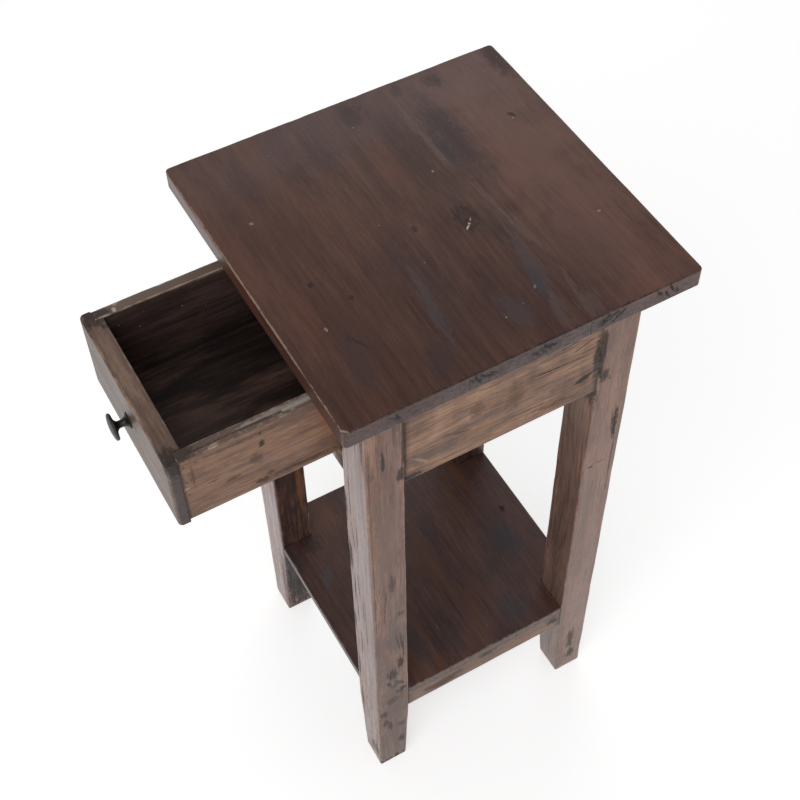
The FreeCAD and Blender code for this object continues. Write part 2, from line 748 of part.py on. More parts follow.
def make_knob_screw():
    """The screw that holds the knob from inside the drawer."""
    length = "drawer_front_thickness + knob_screw_bite"
    sizes = ("knob_screw_diameter", length, "knob_screw_head", "knob_screw_head_height")
    screw = new_screw("knob_screw", ("0", "front_in_y", "knob_z"), (0, -1, 0), *sizes)
    subparts.append(screw)


def check_and_write():
    """Stop if anything failed to build, then write one file for each sub-part."""
    doc.recompute()
    failed = [thing.Label for thing in doc.Objects if {"Invalid", "Error"} & set(thing.State)]
    failed += [part.Label for part in subparts if part.Shape.isNull() or not part.Shape.isValid()]
    if failed:
        raise RuntimeError("did not build: " + ", ".join(failed))
    os.makedirs("parts", exist_ok=True)
    for part in subparts:
        part.Shape.exportStep(f"parts/{part.Label}.step")


fill_sheet()
make_top()
make_top_nails()
make_legs()
make_aprons()
make_front_rails()
make_shelf_rails()
make_shelf()
make_runners()
make_kickers()
make_runner_screws()
make_stops()
make_drawer_front()
make_drawer_sides()
make_drawer_back()
make_drawer_bottom()
make_drawer_pins()
make_knob()
make_knob_screw()
check_and_write()
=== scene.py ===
import bpy
import numpy as np
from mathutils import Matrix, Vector


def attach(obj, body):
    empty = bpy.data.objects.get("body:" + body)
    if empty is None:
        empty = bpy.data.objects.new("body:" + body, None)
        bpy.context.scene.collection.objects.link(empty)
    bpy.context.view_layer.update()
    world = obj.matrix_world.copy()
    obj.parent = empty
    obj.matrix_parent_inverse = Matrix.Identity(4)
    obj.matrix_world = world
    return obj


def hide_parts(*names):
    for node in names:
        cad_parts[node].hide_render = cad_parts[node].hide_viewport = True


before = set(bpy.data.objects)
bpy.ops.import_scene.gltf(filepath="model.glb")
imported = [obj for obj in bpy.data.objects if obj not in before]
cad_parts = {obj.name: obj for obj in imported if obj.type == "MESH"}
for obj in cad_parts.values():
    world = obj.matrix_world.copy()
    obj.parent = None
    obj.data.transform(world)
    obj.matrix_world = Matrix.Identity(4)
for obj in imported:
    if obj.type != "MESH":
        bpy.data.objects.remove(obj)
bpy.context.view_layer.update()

# Legs
# Four straight posts of old hardwood, planed by hand and stained a greyish brown. Below the shelf the
# two inner faces of each are cut back to a slimmer foot. Aprons and rails are tenoned into them.
LEG_OUTER = (0.142, 0.144)
LEG_INNER = (0.097, 0.104)
FOOT_INNER = (0.1065, 0.1095)
LEG_TOP = 0.7295
TAPER_TOP = 0.127
LEG_ARRIS = 0.0014
FOOT_ROUND = 0.003
BROAD_MARK = 0.03


def tone(red, green, blue):
    """A stain's colour on a colour picker's scale of 0 to 255, as the linear values a shader takes."""
    part = np.array([red, green, blue]) / 255
    linear = np.where(part > 0.04045, ((part + 0.055) / 1.055) ** 2.4, part / 12.92)
    return (*linear.tolist(), 1)


def wire(tree, kind, *values, **options):
    """Add one shader node. Options set its menus, values fill its live inputs in order, and a value may be
    the output of another node. The node's first live output is handed back."""
    node = tree.nodes.new(kind)
    for option, choice in options.items():
        setattr(node, option, choice)
    for socket, value in zip([s for s in node.inputs if s.enabled], values):
        if isinstance(value, bpy.types.NodeSocket):
            tree.links.new(value, socket)
        else:
            socket.default_value = value
    return next(s for s in node.outputs if s.enabled)


def finish(name):
    """A new surface finish: the material, its node tree and its main shader."""
    material = bpy.data.materials.new(name)
    material.use_nodes = True
    return material, material.node_tree, material.node_tree.nodes["Principled BSDF"]


def on_object(tree):
    """The place on the object, in metres."""
    return wire(tree, "ShaderNodeTexCoord").node.outputs["Object"]


def painted(tree, attribute, output="Fac"):
    """An attribute that the mesh carries at its points."""
    return wire(tree, "ShaderNodeAttribute", attribute_name=attribute).node.outputs[output]


def drawn_noise(place, stretch, detail, rough=0.55):
    """Noise drawn out along the grain: the place in the board times a stretch for each way. This helper and
    the next ones add to the node tree that their first value belongs to."""
    drawn = wire(place.id_data, "ShaderNodeVectorMath", place, stretch, operation="MULTIPLY")
    return wire(place.id_data, "ShaderNodeTexNoise", drawn, 1, detail, rough)


def fade(value, low, high, start=0, stop=1):
    """A smooth step: start below low, stop above high, and an S curve between them."""
    steps = value, low, high, start, stop
    return wire(value.id_data, "ShaderNodeMapRange", *steps, interpolation_type="SMOOTHSTEP")


def times(first, second):
    """Product of two values."""
    return wire(first.id_data, "ShaderNodeMath", first, second, operation="MULTIPLY")


def plus(first, second):
    """Sum of two values."""
    return wire(first.id_data, "ShaderNodeMath", first, second, operation="ADD")


def most(first, second):
    """The larger of two values."""
    return wire(first.id_data, "ShaderNodeMath", first, second, operation="MAXIMUM")


def tint(share, under, over):
    """One stain over another by a share from 0 to 1."""
    return wire(share.id_data, "ShaderNodeMix", share, under, over, data_type="RGBA")


def raised(height, strength, depth):
    """Fine relief: a height over the surface, felt as a bend of its normal."""
    bump = wire(height.id_data, "ShaderNodeBump", strength, depth).node
    height.id_data.links.new(height, bump.inputs["Height"])
    return bump.outputs["Normal"]


def coat(shader, **looks):
    """Lead values to the inputs of the main shader, base_color to Base Color and so on."""
    for look, value in looks.items():
        shader.id_data.links.new(value, shader.inputs[look.replace("_", " ").title()])


def stained_wood(name, stains, rough, relief, clouds, marks=(), curl=0, contrast=1, specks=0, inside=None,
                 rubbed=0.65, scuffed=0.25, shine=0.36, lined=0.3):
    """Stained wood, worked out in the board's own coordinates: along the grain, across it and through it.
    Its stains, on the scale of 0 to 255, are dark, middle, light, worn and end grain. Slow noise bends the
    lines across the grain. Bands, streaks and fibres are three noises drawn out along it, blotches a fourth
    that is nearly even all ways, and their weighted mean runs over a ramp from the dark to the light stain.
    Curl adds bars across the grain. Lines, pores and scuffs are finer drawn noises past a limit. A cloud is
    (stretch, low, high, stain, strength), a broad noise past a limit. A mark is (centre, reach, colour,
    strength) and, where it is turned, its turn: an even fall from the centre to nothing four reaches away,
    less a noise, past a limit, so that it ends about one reach out, ragged or, if broad, in drifts. Some
    marks are stains and wear, some painted light and shade. The arris is rubbed to the worn stain where the
    wear attribute and a noise meet, and faces with the inner attribute take the inside stain, which on the
    drawer is darker and also paints the shade inside it."""
    material, tree, gloss = finish(name)
    dark, middle, light, worn, end_grain = (tone(*stain) for stain in stains)
    grain = painted(tree, "grain", "Vector")
    wear = painted(tree, "wear")
    end = painted(tree, "end")
    here = on_object(tree)

    sway = wire(tree, "ShaderNodeVectorMath", grain, (3, 9, 9), operation="MULTIPLY")
    sway = wire(tree, "ShaderNodeTexNoise", sway, 1, 2, 0.5).node.outputs["Color"]
    sway = wire(tree, "ShaderNodeVectorMath", sway, (0, 0.022, 0.022), operation="MULTIPLY")
    bent = wire(tree, "ShaderNodeVectorMath", grain, sway, operation="ADD")

    bands = drawn_noise(bent, (2.5, 40, 40), 4, 0.55)
    streaks = drawn_noise(bent, (9, 230, 230), 4, 0.65)
    lines = drawn_noise(bent, (24, 520, 520), 2, 0.5)
    fibres = drawn_noise(bent, (60, 900, 900), 4, 0.65)
    pores = fade(drawn_noise(bent, (90, 1300, 1300), 1), 0.6, 0.7)
    blotches = drawn_noise(grain, (9, 21, 21), 6, 0.7)
    body = plus(times(bands, 0.2), times(streaks, 0.3))
    body = plus(body, times(fibres, 0.18))
    body = plus(body, times(blotches, 0.32))
    if curl:
        bars = drawn_noise(bent, (44, 11, 11), 3, 0.5)
        body = plus(times(body, 1.0 - curl), times(bars, curl))

    ramp = tree.nodes.new("ShaderNodeValToRGB")
    first, last = ramp.color_ramp.elements
    first.position, first.color = 0.5 - 0.10 / contrast, dark
    last.position, last.color = 0.5 + 0.10 / contrast, light
    ramp.color_ramp.elements.new(0.5).color = middle
    tree.links.new(body, ramp.inputs["Fac"])
    colour = ramp.outputs["Color"]

    for number, (stretch, low, high, stain, strength) in enumerate(clouds):
        apart = (3.1 * number, 7.7, 1.9 * number)
        moved = wire(tree, "ShaderNodeVectorMath", grain, apart, operation="ADD")
        cloud = fade(drawn_noise(moved, stretch, 4, 0.6), low, high, 0, strength)
        colour = tint(cloud, colour, tone(*stain))

    colour = tint(fade(lines, 0.56, 0.7, 0, lined), colour, dark)
    colour = tint(times(pores, 0.45), colour, dark)
    scuffs = drawn_noise(grain, (40, 620, 620), 2, 0.5)
    colour = tint(fade(scuffs, 0.66, 0.74, 0, scuffed), colour, worn)
    # faces inside the drawer take a darker copy of the stain, partly painted shade for the dim inside
    if inside:
        inside = tone(*inside)
        deep = tint(fade(body, 0.42, 0.58), tuple(0.45 * part for part in inside), inside)
        colour = tint(times(painted(tree, "inner"), 0.95), colour, deep)

    rings = drawn_noise(bent, (60, 160, 420), 5, 0.7)
    rings = fade(rings, 0.38, 0.66, 0, 0.85)
    cut = tint(rings, end_grain, tuple(0.4 * part for part in dark))
    colour = tint(times(end, 0.85), colour, cut)

    fibrous = drawn_noise(bent, (35, 420, 420), 3, 0.6)
    ragged = drawn_noise(here, (230, 230, 230), 3, 0.6)
    ragged = plus(times(ragged, -1.8), times(fibrous, -2.2))
    drifting = drawn_noise(here, (26, 26, 26), 5, 0.6)
    drifting = plus(times(drifting, -2), times(fibrous, -1.4))
    crust = 0.0
    for centre, reach, stain, strength, *turns in marks:
        turn = turns[0] if turns else (0, 0, 0)
        far = [4 * way for way in reach]
        local = wire(tree, "ShaderNodeMapping", here, centre, turn, far, vector_type="TEXTURE")
        near = wire(tree, "ShaderNodeTexGradient", local, gradient_type="SPHERICAL").node.outputs["Fac"]
        broad = sorted(reach)[1] > BROAD_MARK
        depth = plus(times(near, 4), drifting if broad else ragged)
        mark = fade(depth, 0.8 if broad else 0.75, 2.15 if broad else 1.5, 0, strength)
        colour = tint(mark, colour, tone(*stain))
        if not broad:
            crust = most(mark, crust)

    if specks:
        dots = wire(tree, "ShaderNodeTexVoronoi", here, 85).node
        near = fade(dots.outputs["Distance"], 0.035, 0.075, 1, 0)
        chance = wire(tree, "ShaderNodeSeparateColor", dots.outputs["Color"])
        chosen = fade(chance, 1.0 - specks, 1.01 - specks)
        colour = tint(times(near, chosen), colour, worn)

    rub = drawn_noise(grain, (50, 80, 80), 5, 0.7)
    rub = fade(times(wear, rub), 0.46, 0.66, 0, rubbed)
    colour = tint(rub, colour, worn)

    dull = plus(streaks, times(rub, 0.2))
    dull = wire(tree, "ShaderNodeMapRange", dull, 0.38, 0.66, *rough)
    if marks:
        dull = plus(dull, times(crust, 0.3))
    height = plus(times(fibres, 0.5), times(streaks, 0.5))
    height = plus(height, times(pores, -0.35))
    planed = drawn_noise(grain, (7, 42, 42), 2, 0.5)
    height = plus(height, times(planed, 1.2))
    coat(gloss, base_color=colour, roughness=dull, normal=raised(height, relief, 0.0009))
    gloss.inputs["Specular IOR Level"].default_value = shine
    return material


def face_marks(across, place, rows, depth=0.004):
    """Marks on one flat face, which lies across x, y or z at the place, stains and wear as well as painted
    light and shade. A row is the mark's two coordinates in the face, its reach both ways, its colour, its
    strength and, where it is turned, the turn."""
    at = "xyz".index(across)
    marks = []
    for first, second, wide, tall, stain, strength, *turns in rows:
        centre, reach, turn = [first, second], [wide, tall], [0, 0]
        centre.insert(at, place)
        reach.insert(at, depth)
        turn.insert(at, sum(turns))
        marks.append((centre, reach, stain, strength, turn))
    return marks


def wander(place, seed, shortest, longest, waves=9):
    """A smooth uneven curve between -1 and 1: the mean of sine waves along the place, with lengths between
    the shortest and the longest and phases drawn from the seed."""
    draw = np.random.default_rng(seed)
    length = np.exp(draw.uniform(np.log(shortest), np.log(longest), waves))
    phase = draw.uniform(0, 2 * np.pi, waves)
    curve = np.sin(2 * np.pi * np.asarray(place)[..., None] / length + phase).mean(-1)
    return np.clip(1.8 * curve, -1, 1)


def add_piece(name, points, run, seed, material, body, slot, nodes, wear=0, end=0, inner=0, hub=None):
    """Skin a stack of closed rings, points[ring, around], with quads, and close both ends with a fan of
    triangles round their middle, or round the hub in plan where its middle can't see the whole ring. The
    grain attribute is the point with the run of the grain put first, moved by a draw from the seed, so no
    two boards match. Wear, end and inner are the shares of worn arris, end grain and inside face there."""
    rings, around = points.shape[:2]
    index = np.arange(rings * around).reshape(rings, around)
    onward = np.roll(index, -1, axis=1)
    quads = np.stack([index[:-1], onward[:-1], onward[1:], index[1:]], axis=-1).reshape(-1, 4)
    under = np.stack([np.full(around, rings * around), onward[0], index[0]], axis=-1)
    over = np.stack([np.full(around, rings * around + 1), index[-1], onward[-1]], axis=-1)
    faces = quads.tolist() + under.tolist() + over.tolist()
    middles = points[[0, -1]].mean(axis=1)
    if hub:
        middles[:, :2] = hub
    spots = np.concatenate([points.reshape(-1, 3), middles])
    mesh = bpy.data.meshes.new(name)
    mesh.from_pydata(spots.tolist(), [], faces)
    mesh.polygons.foreach_set("use_smooth", np.arange(len(faces)) < len(quads))
    order = {"x": [0, 1, 2], "y": [1, 0, 2], "z": [2, 0, 1]}[run]
    grain = (spots[:, order] + np.random.default_rng(seed).uniform(-4, 4, 3)).astype(np.float32)
    mesh.attributes.new("grain", "FLOAT_VECTOR", "POINT").data.foreach_set("vector", grain.ravel())
    for label, share in (("wear", wear), ("end", end), ("inner", inner)):
        share = np.append(np.broadcast_to(share, (rings, around)).ravel(), [0, 0]).astype(np.float32)
        mesh.attributes.new(label, "FLOAT", "POINT").data.foreach_set("value", share)
    mesh.materials.append(material)
    mesh.validate()
    piece = bpy.data.objects.new(name, mesh)
    bpy.context.scene.collection.objects.link(piece)
    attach(piece, body)
    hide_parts(*nodes)


def worn_post(low, high, heights, arris, seed):
    """Rings of a post: at each height a rectangle from low to high (x and y), moved in a little by a
    wandering curve, whose four corners are quarter circles with a wandering radius. Three points lie on the
    flat on each side of a corner, so that wear fades out over the face."""
    side = np.array([0.0015, 0.005, 0.012])
    angle = np.linspace(0, np.pi / 2, 6)
    before = np.array([[-1, 0], [0, -1], [1, 0], [0, 1]])
    after = np.roll(before, -1, axis=0)
    shrink = np.stack([1 + wander(heights, seed + turn, 0.03, 0.4) for turn in range(4)]) * 0.00008
    west, south = low[:, 0] + shrink[0], low[:, 1] + shrink[1]
    east, north = high[:, 0] - shrink[2], high[:, 1] - shrink[3]
    pairs = (west, south), (east, south), (east, north), (west, north)
    corner = np.stack([np.stack(pair, -1) for pair in pairs], axis=1)
    uneven = [1 + 0.5 * wander(heights, seed + 10 + turn, 0.05, 0.3) for turn in range(4)]
    radius = (np.stack(uneven, axis=1) * arris)[..., None]
    still = 0 * radius + 0 * side
    in_before = np.concatenate([still, radius * (1 - np.cos(angle)), radius + side], axis=-1)
    in_after = np.concatenate([radius + side[::-1], radius * (1 - np.sin(angle)), still], axis=-1)
    plan = (corner[:, :, None] - in_before[..., None] * before[None, :, None]
            - in_after[..., None] * after[None, :, None]).reshape(len(heights), -1, 2)
    tall = np.broadcast_to(heights[:, None, None], plan.shape[:2] + (1,))
    wear = np.tile(np.concatenate([[0, 0.25, 0.7], np.ones(6), [0.7, 0.25, 0]]), 4)
    return np.concatenate([plan, tall], axis=-1), wear


leg_marks_and_painted_light = [
    # broad lighter and darker patches from face to face, some of them painted light and shade as noted
    # below, a rusty streak and a foot darkened as painted shade
    # the back right leg's outer face lightened as painted light
    ((0.142, 0.128, 0.33), (0.012, 0.04, 0.55), (154, 122, 109), 0.42),
    # the back right leg's front face darkened as painted shade
    ((0.12, 0.104, 0.24), (0.04, 0.006, 0.36), (100, 84, 79), 0.65),
    # the front left leg's inner face darkened as painted shade under the drawer and top
    ((-0.101, -0.124, 0.3), (0.016, 0.04, 0.55), (56, 41, 39), 0.92),
    ((0.142, -0.125, 0.11), (0.01, 0.04, 0.25), (80, 54, 43), 0.75),
    ((-0.097, -0.1125, 0.285), (0.004, 0.0035, 0.06), (136, 84, 52), 0.65),
    # the front left foot darkened as painted shade
    ((-0.102, -0.127, 0.075), (0.012, 0.028, 0.09), (44, 32, 30), 0.95),
    # the pale front faces of both front legs are a painted reflection
    ((0.12, -0.144, 0.46), (0.05, 0.0022, 0.34), (157, 132, 131), 0.6),
    ((-0.12, -0.144, 0.34), (0.05, 0.0022, 0.4), (176, 150, 150), 0.6),
    ((0.142, -0.126, 0.5), (0.006, 0.035, 0.09), (143, 111, 92), 0.42),
    ((-0.1, 0.124, 0.25), (0.022, 0.045, 0.25), (44, 33, 30), 0.85)]
leg_marks_and_painted_light += face_marks("x", LEG_OUTER[0], [
    # front right leg: a dark line at the arris, warm patches, joint stain, smear, knots and mottled foot
    (-0.1405, 0.5, 0.0009, 0.2, (86, 66, 62), 0.6),
    (-0.1188, 0.606, 0.006, 0.01, (150, 104, 88), 0.5),
    (-0.1366, 0.59, 0.005, 0.012, (150, 102, 86), 0.5),
    (-0.1372, 0.5, 0.0022, 0.045, (158, 112, 82), 0.5),
    (-0.1206, 0.4186, 0.004, 0.016, (66, 50, 47), 0.7),
    (-0.1296, 0.377, 0.001, 0.03, (70, 53, 49), 0.7, -0.064),
    (-0.1052, 0.64, 0.0016, 0.056, (30, 22, 20), 0.8),
    (-0.1075, 0.605, 0.005, 0.011, (26, 19, 17), 0.8),
    (-0.126, 0.634, 0.002, 0.018, (28, 20, 18), 0.85),
    (-0.1127, 0.244, 0.0046, 0.011, (40, 29, 28), 0.85),
    (-0.124, 0.224, 0.0062, 0.0125, (42, 31, 29), 0.85),
    (-0.112, 0.353, 0.0045, 0.006, (52, 39, 36), 0.65),
    (-0.111, 0.285, 0.0016, 0.03, (48, 36, 34), 0.75, 0.08),
    (-0.116, 0.292, 0.001, 0.024, (48, 36, 34), 0.7, 0.12),
    (-0.122, 0.195, 0.0055, 0.004, (60, 46, 43), 0.65, 0.5),
    (-0.112, 0.18, 0.005, 0.005, (54, 42, 39), 0.7, -0.6),
    (-0.137, 0.133, 0.006, 0.009, (50, 38, 36), 0.7),
    (-0.129, 0.096, 0.004, 0.012, (58, 45, 42), 0.65),
    (-0.115, 0.048, 0.004, 0.009, (36, 26, 23), 0.8),
    (-0.13, 0.003, 0.022, 0.007, (36, 27, 24), 0.75),
    (-0.1288, 0.204, 0.003, 0.008, (48, 36, 34), 0.7, 0.4),
    (-0.1155, 0.198, 0.0034, 0.012, (52, 39, 37), 0.7, 0.7),
    (-0.115, 0.177, 0.005, 0.0065, (56, 43, 40), 0.65, -0.4),
    (-0.125, 0.16, 0.01, 0.008, (76, 58, 53), 0.6, 0.3),
    (-0.135, 0.109, 0.005, 0.008, (56, 43, 40), 0.65),
    (-0.114, 0.09, 0.005, 0.009, (66, 50, 46), 0.6)])
leg_marks_and_painted_light += face_marks("y", -LEG_OUTER[1], [
    # front right leg: dark streaks and a bruised arris
    (0.1075, 0.56, 0.0012, 0.06, (52, 41, 40), 0.75, 0.01),
    (0.118, 0.5, 0.001, 0.05, (60, 48, 46), 0.7),
    (0.125, 0.33, 0.001, 0.055, (60, 48, 46), 0.7, -0.01),
    (0.1097, 0.483, 0.0009, 0.032, (56, 44, 43), 0.8, -0.088),
    (0.1135, 0.399, 0.0012, 0.024, (40, 31, 30), 0.85, -0.068),
    (0.1082, 0.34, 0.0012, 0.03, (44, 34, 33), 0.8),
    (0.1211, 0.354, 0.0008, 0.02, (56, 44, 43), 0.75),
    (0.1147, 0.14, 0.0012, 0.004, (40, 31, 30), 0.85),
    (0.104, 0.12, 0.0022, 0.034, (40, 31, 30), 0.8),
    (0.099, 0.52, 0.0022, 0.026, (34, 26, 25), 0.8),
    (0.099, 0.635, 0.002, 0.03, (36, 28, 27), 0.8),
    (0.138, 0.66, 0.003, 0.03, (60, 48, 45), 0.7),
    (0.101, 0.44, 0.003, 0.03, (30, 23, 22), 0.85),
    (0.106, 0.38, 0.0016, 0.032, (36, 28, 27), 0.8, 0.03),
    (0.1, 0.305, 0.0026, 0.02, (32, 24, 23), 0.8),
    (0.112, 0.27, 0.0014, 0.03, (44, 35, 34), 0.7),
    (0.102, 0.2, 0.0026, 0.024, (32, 24, 23), 0.75),
    (0.13, 0.03, 0.01, 0.014, (60, 47, 44), 0.6)])
leg_marks_and_painted_light += face_marks("x", LEG_OUTER[0], [
    # back right leg: joint stain, long smear, knot, foot patches
    (0.1065, 0.64, 0.0036, 0.036, (22, 16, 15), 0.85),
    (0.111, 0.608, 0.0055, 0.012, (30, 22, 20), 0.8, 0.4),
    (0.106, 0.575, 0.0026, 0.013, (34, 25, 23), 0.75),
    (0.134, 0.5195, 0.0042, 0.024, (48, 38, 37), 0.9),
    (0.1375, 0.45, 0.001, 0.06, (52, 40, 38), 0.75),
    (0.112, 0.455, 0.0026, 0.0018, (16, 12, 11), 0.95),
    (0.123, 0.458, 0.01, 0.0008, (70, 54, 50), 0.7, -0.12),
    (0.125, 0.074, 0.0055, 0.022, (52, 39, 36), 0.8),
    (0.129, 0.033, 0.007, 0.011, (46, 35, 31), 0.8)])
leg_marks_and_painted_light += face_marks("y", LEG_INNER[1], [
    # back right leg: a dark wedge under the apron, painted shade
    (0.125, 0.58, 0.02, 0.02, (30, 22, 20), 0.75)])
leg_wood = stained_wood(
    "leg_wood_stained", [(96, 66, 53), (143, 101, 83), (173, 131, 110), (184, 152, 132), (76, 57, 49)],
    marks=leg_marks_and_painted_light, rough=(0.2, 0.46), relief=0.35, contrast=2, lined=0.7,
    clouds=[((5, 26, 26), 0.5, 0.72, (106, 75, 63), 0.5),
            ((5, 30, 30), 0.52, 0.72, (158, 122, 106), 0.5),
            ((4, 40, 40), 0.52, 0.66, (130, 112, 94), 0.5),
            ((3, 60, 60), 0.54, 0.66, (172, 132, 120), 0.45),
            ((22, 90, 90), 0.6, 0.7, (58, 42, 37), 0.6)])

leg_rise = np.concatenate([[0, 0.0003, 0.0008, 0.0016, FOOT_ROUND], np.arange(0.012, 0.1255, 0.0113),
                           [0.1262, TAPER_TOP, 0.1278], np.arange(0.138, LEG_TOP - 0.004, 0.012), [LEG_TOP]])
below = np.clip(FOOT_ROUND - leg_rise, 0, None)
foot_round = (FOOT_ROUND - np.sqrt(np.clip(FOOT_ROUND ** 2 - below ** 2, 0, None)))[:, None]
cut_back = np.clip(1 - leg_rise / TAPER_TOP, 0, None)[:, None]
inner = np.array(LEG_INNER) + cut_back * (np.array(FOOT_INNER) - np.array(LEG_INNER)) + foot_round
outer = np.array(LEG_OUTER) - foot_round
for number, (place, ways) in enumerate({"front_left": (-1, -1), "front_right": (1, -1),
                                        "back_left": (-1, 1), "back_right": (1, 1)}.items()):
    faces = inner * np.array(ways), outer * np.array(ways)
    rings, wear = worn_post(np.minimum(*faces), np.maximum(*faces), leg_rise, LEG_ARRIS, 20 + 40 * number)
    add_piece(f"post_{place}", rings, "z", 3 + number, leg_wood, "table", "leg_wood", [f"leg_{place}"], wear)

# Aprons and rails
# Boards that tie the legs together: an apron on each side and at the back, one rail over and one under
# the drawer, and a rail under each end of the shelf. Stained to match the legs, and tenoned into them.
APRON_FACE = 0.1415
APRON_THICK = 0.020
APRON_Z = (0.5875, 0.7295)
FRONT_FACE = 0.1435
TOP_RAIL_Z = (0.699, 0.7295)
DRAWER_RAIL_Z = (0.581, 0.606)
SHELF_RAIL_Z = (0.127, 0.1555)
APRON_ARRIS = (0.0004, 0.0016)
RAIL_ARRIS = (0.0012, 0.0012)


def board_rim(corners, rounds, edges, spare, step=0.007):
    """Walk round a plan outline, anticlockwise. A straight edge is cut into even steps that keep clear of
    the arris and the spare margin at its two ends, and a corner with a round is a quarter circle. Each point
    gets its outward direction (at a sharp corner the sum of both edges' directions), the reach of its upper
    and lower arris, which is radius times direction, the radius itself (the larger one at a corner) and its
    edge. For the clean line inside the arris it also gets the spot that line is measured from, which is the
    sharp corner for every point of a round, with the reach and direction there and the lean of a tiny round
    in its place."""
    corners = np.asarray(corners, dtype=float)
    count = len(corners)
    rounds = np.broadcast_to(rounds, count)
    edges = np.broadcast_to(np.asarray(edges, dtype=float), (count, 2))
    leg = np.roll(corners, -1, axis=0) - corners
    length = np.hypot(*leg.T)
    ahead = leg / length[:, None]
    out = np.stack([ahead[:, 1], -ahead[:, 0]], axis=1)
    parts = []
    for here in range(count):
        last, after, radius, spot = here - 1, (here + 1) % count, rounds[here], corners[here]
        both = out[last] + out[here]
        square = edges[last][:, None] * out[last] + edges[here][:, None] * out[here]
        if radius > 0:
            angle = np.linspace(0, np.pi / 2, 8)[:, None]
            fan = np.cos(angle) * out[last] + np.sin(angle) * out[here]
            rim = spot - radius * both + radius * fan
            size = np.linspace(edges[last], edges[here], 8)
            parts.append((rim, fan, size[..., None] * fan[:, None], size, np.full(8, here), 0 * rim + spot,
                          np.repeat(square[None], 8, 0), 0 * rim + both, fan - both))
        else:
            size = np.maximum(edges[last], edges[here])
            parts.append((spot[None], both[None], square[None], size[None], np.full(1, here), spot[None],
                          square[None], both[None], 0 * both[None]))
        first = max(radius + 0.0008, 2.0 * edges[last].max() + spare)
        final = length[here] - max(rounds[after] + 0.0008, 2.0 * edges[after].max() + spare)
        steps = int((final - first) / step) + 2 if final - first > 0.0005 else 1
        rim = spot + np.linspace(first, final, steps)[:, None] * ahead[here]
        fan, size = 0 * rim + out[here], np.repeat(edges[here][None], steps, 0)
        reach = size[..., None] * fan[:, None]
        parts.append((rim, fan, reach, size, np.full(steps, here), rim, reach, fan, 0 * rim))
    return [np.concatenate(part) for part in zip(*parts)]


def worn_board(corners, z_span, edges, run, seed, rounds=0, margins=(0.0012, 0.004), wave=0.00006,
               chips=0, inner_edges=()):
    """Rings of a board from its underside to its top. The rim of the plan outline, which waves inwards a
    little, is moved in by r (1 - sin a) and up by r (1 - cos a) for the lower arris, straight up the edge,
    and back in over the upper arris; the radius r wanders along the rim and grows at chips. Margins on the
    flat and on the edge let wear fade out, and the innermost ring of each flat is a clean line. End grain
    shows where the rim faces along the run of the grain. The rings come back with the keywords that
    add_piece takes for wear, end grain and inside faces."""
    walk = board_rim(corners, rounds, edges, margins[-1] + 0.0002)
    rim, outward, reach, radii, edge, home, square, both, lean = walk
    walked = np.concatenate([[0], np.cumsum(np.hypot(*np.diff(rim, axis=0).T))])
    exposed = np.clip(radii.max(axis=1) / 0.001, 0, 1) ** 2
    rim = rim - outward * (wave * exposed * (1 + wander(walked, seed + 1, 0.06, 0.3)))[:, None]
    bite = 1 + chips * np.clip(wander(walked, seed + 2, 0.03, 0.09) - 0.6, 0, None)
    uneven_up = (1 + 0.22 * wander(walked, seed + 3, 0.05, 0.3)) * bite
    uneven_low = 1 + 0.22 * wander(walked, seed + 4, 0.05, 0.3)
    upper, lower = radii[:, 0] * uneven_up, radii[:, 1] * uneven_low
    low, high = z_span
    angle = np.linspace(0, np.pi / 2, 6)[:, None]
    margin = np.array(margins)[:, None]
    still, flat = 0 * upper + 0 * margin, 0 * margin
    share_low = np.concatenate([flat + 1, 1 - np.sin(angle), flat, flat, 0 * angle, flat])
    share_up = np.concatenate([flat, 0 * angle, flat, flat, 1 - np.sin(angle[::-1]), flat + 1])
    apart = np.concatenate([margin[::-1], 0 * angle, flat, flat, 0 * angle, margin])
    height = np.concatenate([
        low + still, low + lower * (1 - np.cos(angle)), low + lower + margin,
        high - upper - margin[::-1], high - upper * (1 - np.cos(angle[::-1])), high + still])
    plan = (rim[None] - share_up[..., None] * (reach[:, 0] * uneven_up[:, None])[None]
            - share_low[..., None] * (reach[:, 1] * uneven_low[:, None])[None]
            - apart[..., None] * outward[None])
    plan[0] = home - 1.75 * square[:, 1] - margins[-1] * both + 0.0004 * lean
    plan[-1] = home - 1.75 * square[:, 0] - margins[-1] * both + 0.0004 * lean
    worn = np.linspace(0.6, 0, len(margins))
    wear = np.concatenate([worn[::-1], np.ones(6), worn])
    wear = np.tile(wear, 2)[:, None] * exposed[None]
    upright = np.concatenate([0 * worn, np.sin(angle[:, 0]), 1 + 0 * worn, 1 + 0 * worn,
                              np.sin(angle[::-1, 0]), 0 * worn])[:, None]
    along = np.abs(outward[:, 0 if run == "x" else 1])
    end = np.clip(upright * (along > 0.9) * along, 0, 1)
    inner = upright * np.isin(edge, inner_edges)
    return np.concatenate([plan, height[..., None]], axis=-1), {"wear": wear, "end": end, "inner": inner}


def oblong(x_low, x_high, y_low, y_high):
    """Four corners of a rectangle in plan, anticlockwise from the front left."""
    return [(x_low, y_low), (x_high, y_low), (x_high, y_high), (x_low, y_high)]


def add_board(name, node, plan, z_span, edges, run, seeds, wood, body, slot, hub=None, **shape):
    """Add a worn board in the place of one node, with a seed for its edges and one for its grain."""
    rings, shares = worn_board(plan, z_span, edges, run, seeds[0], **shape)
    add_piece(name, rings, run, seeds[1], wood, body, slot, [node], hub=hub, **shares)


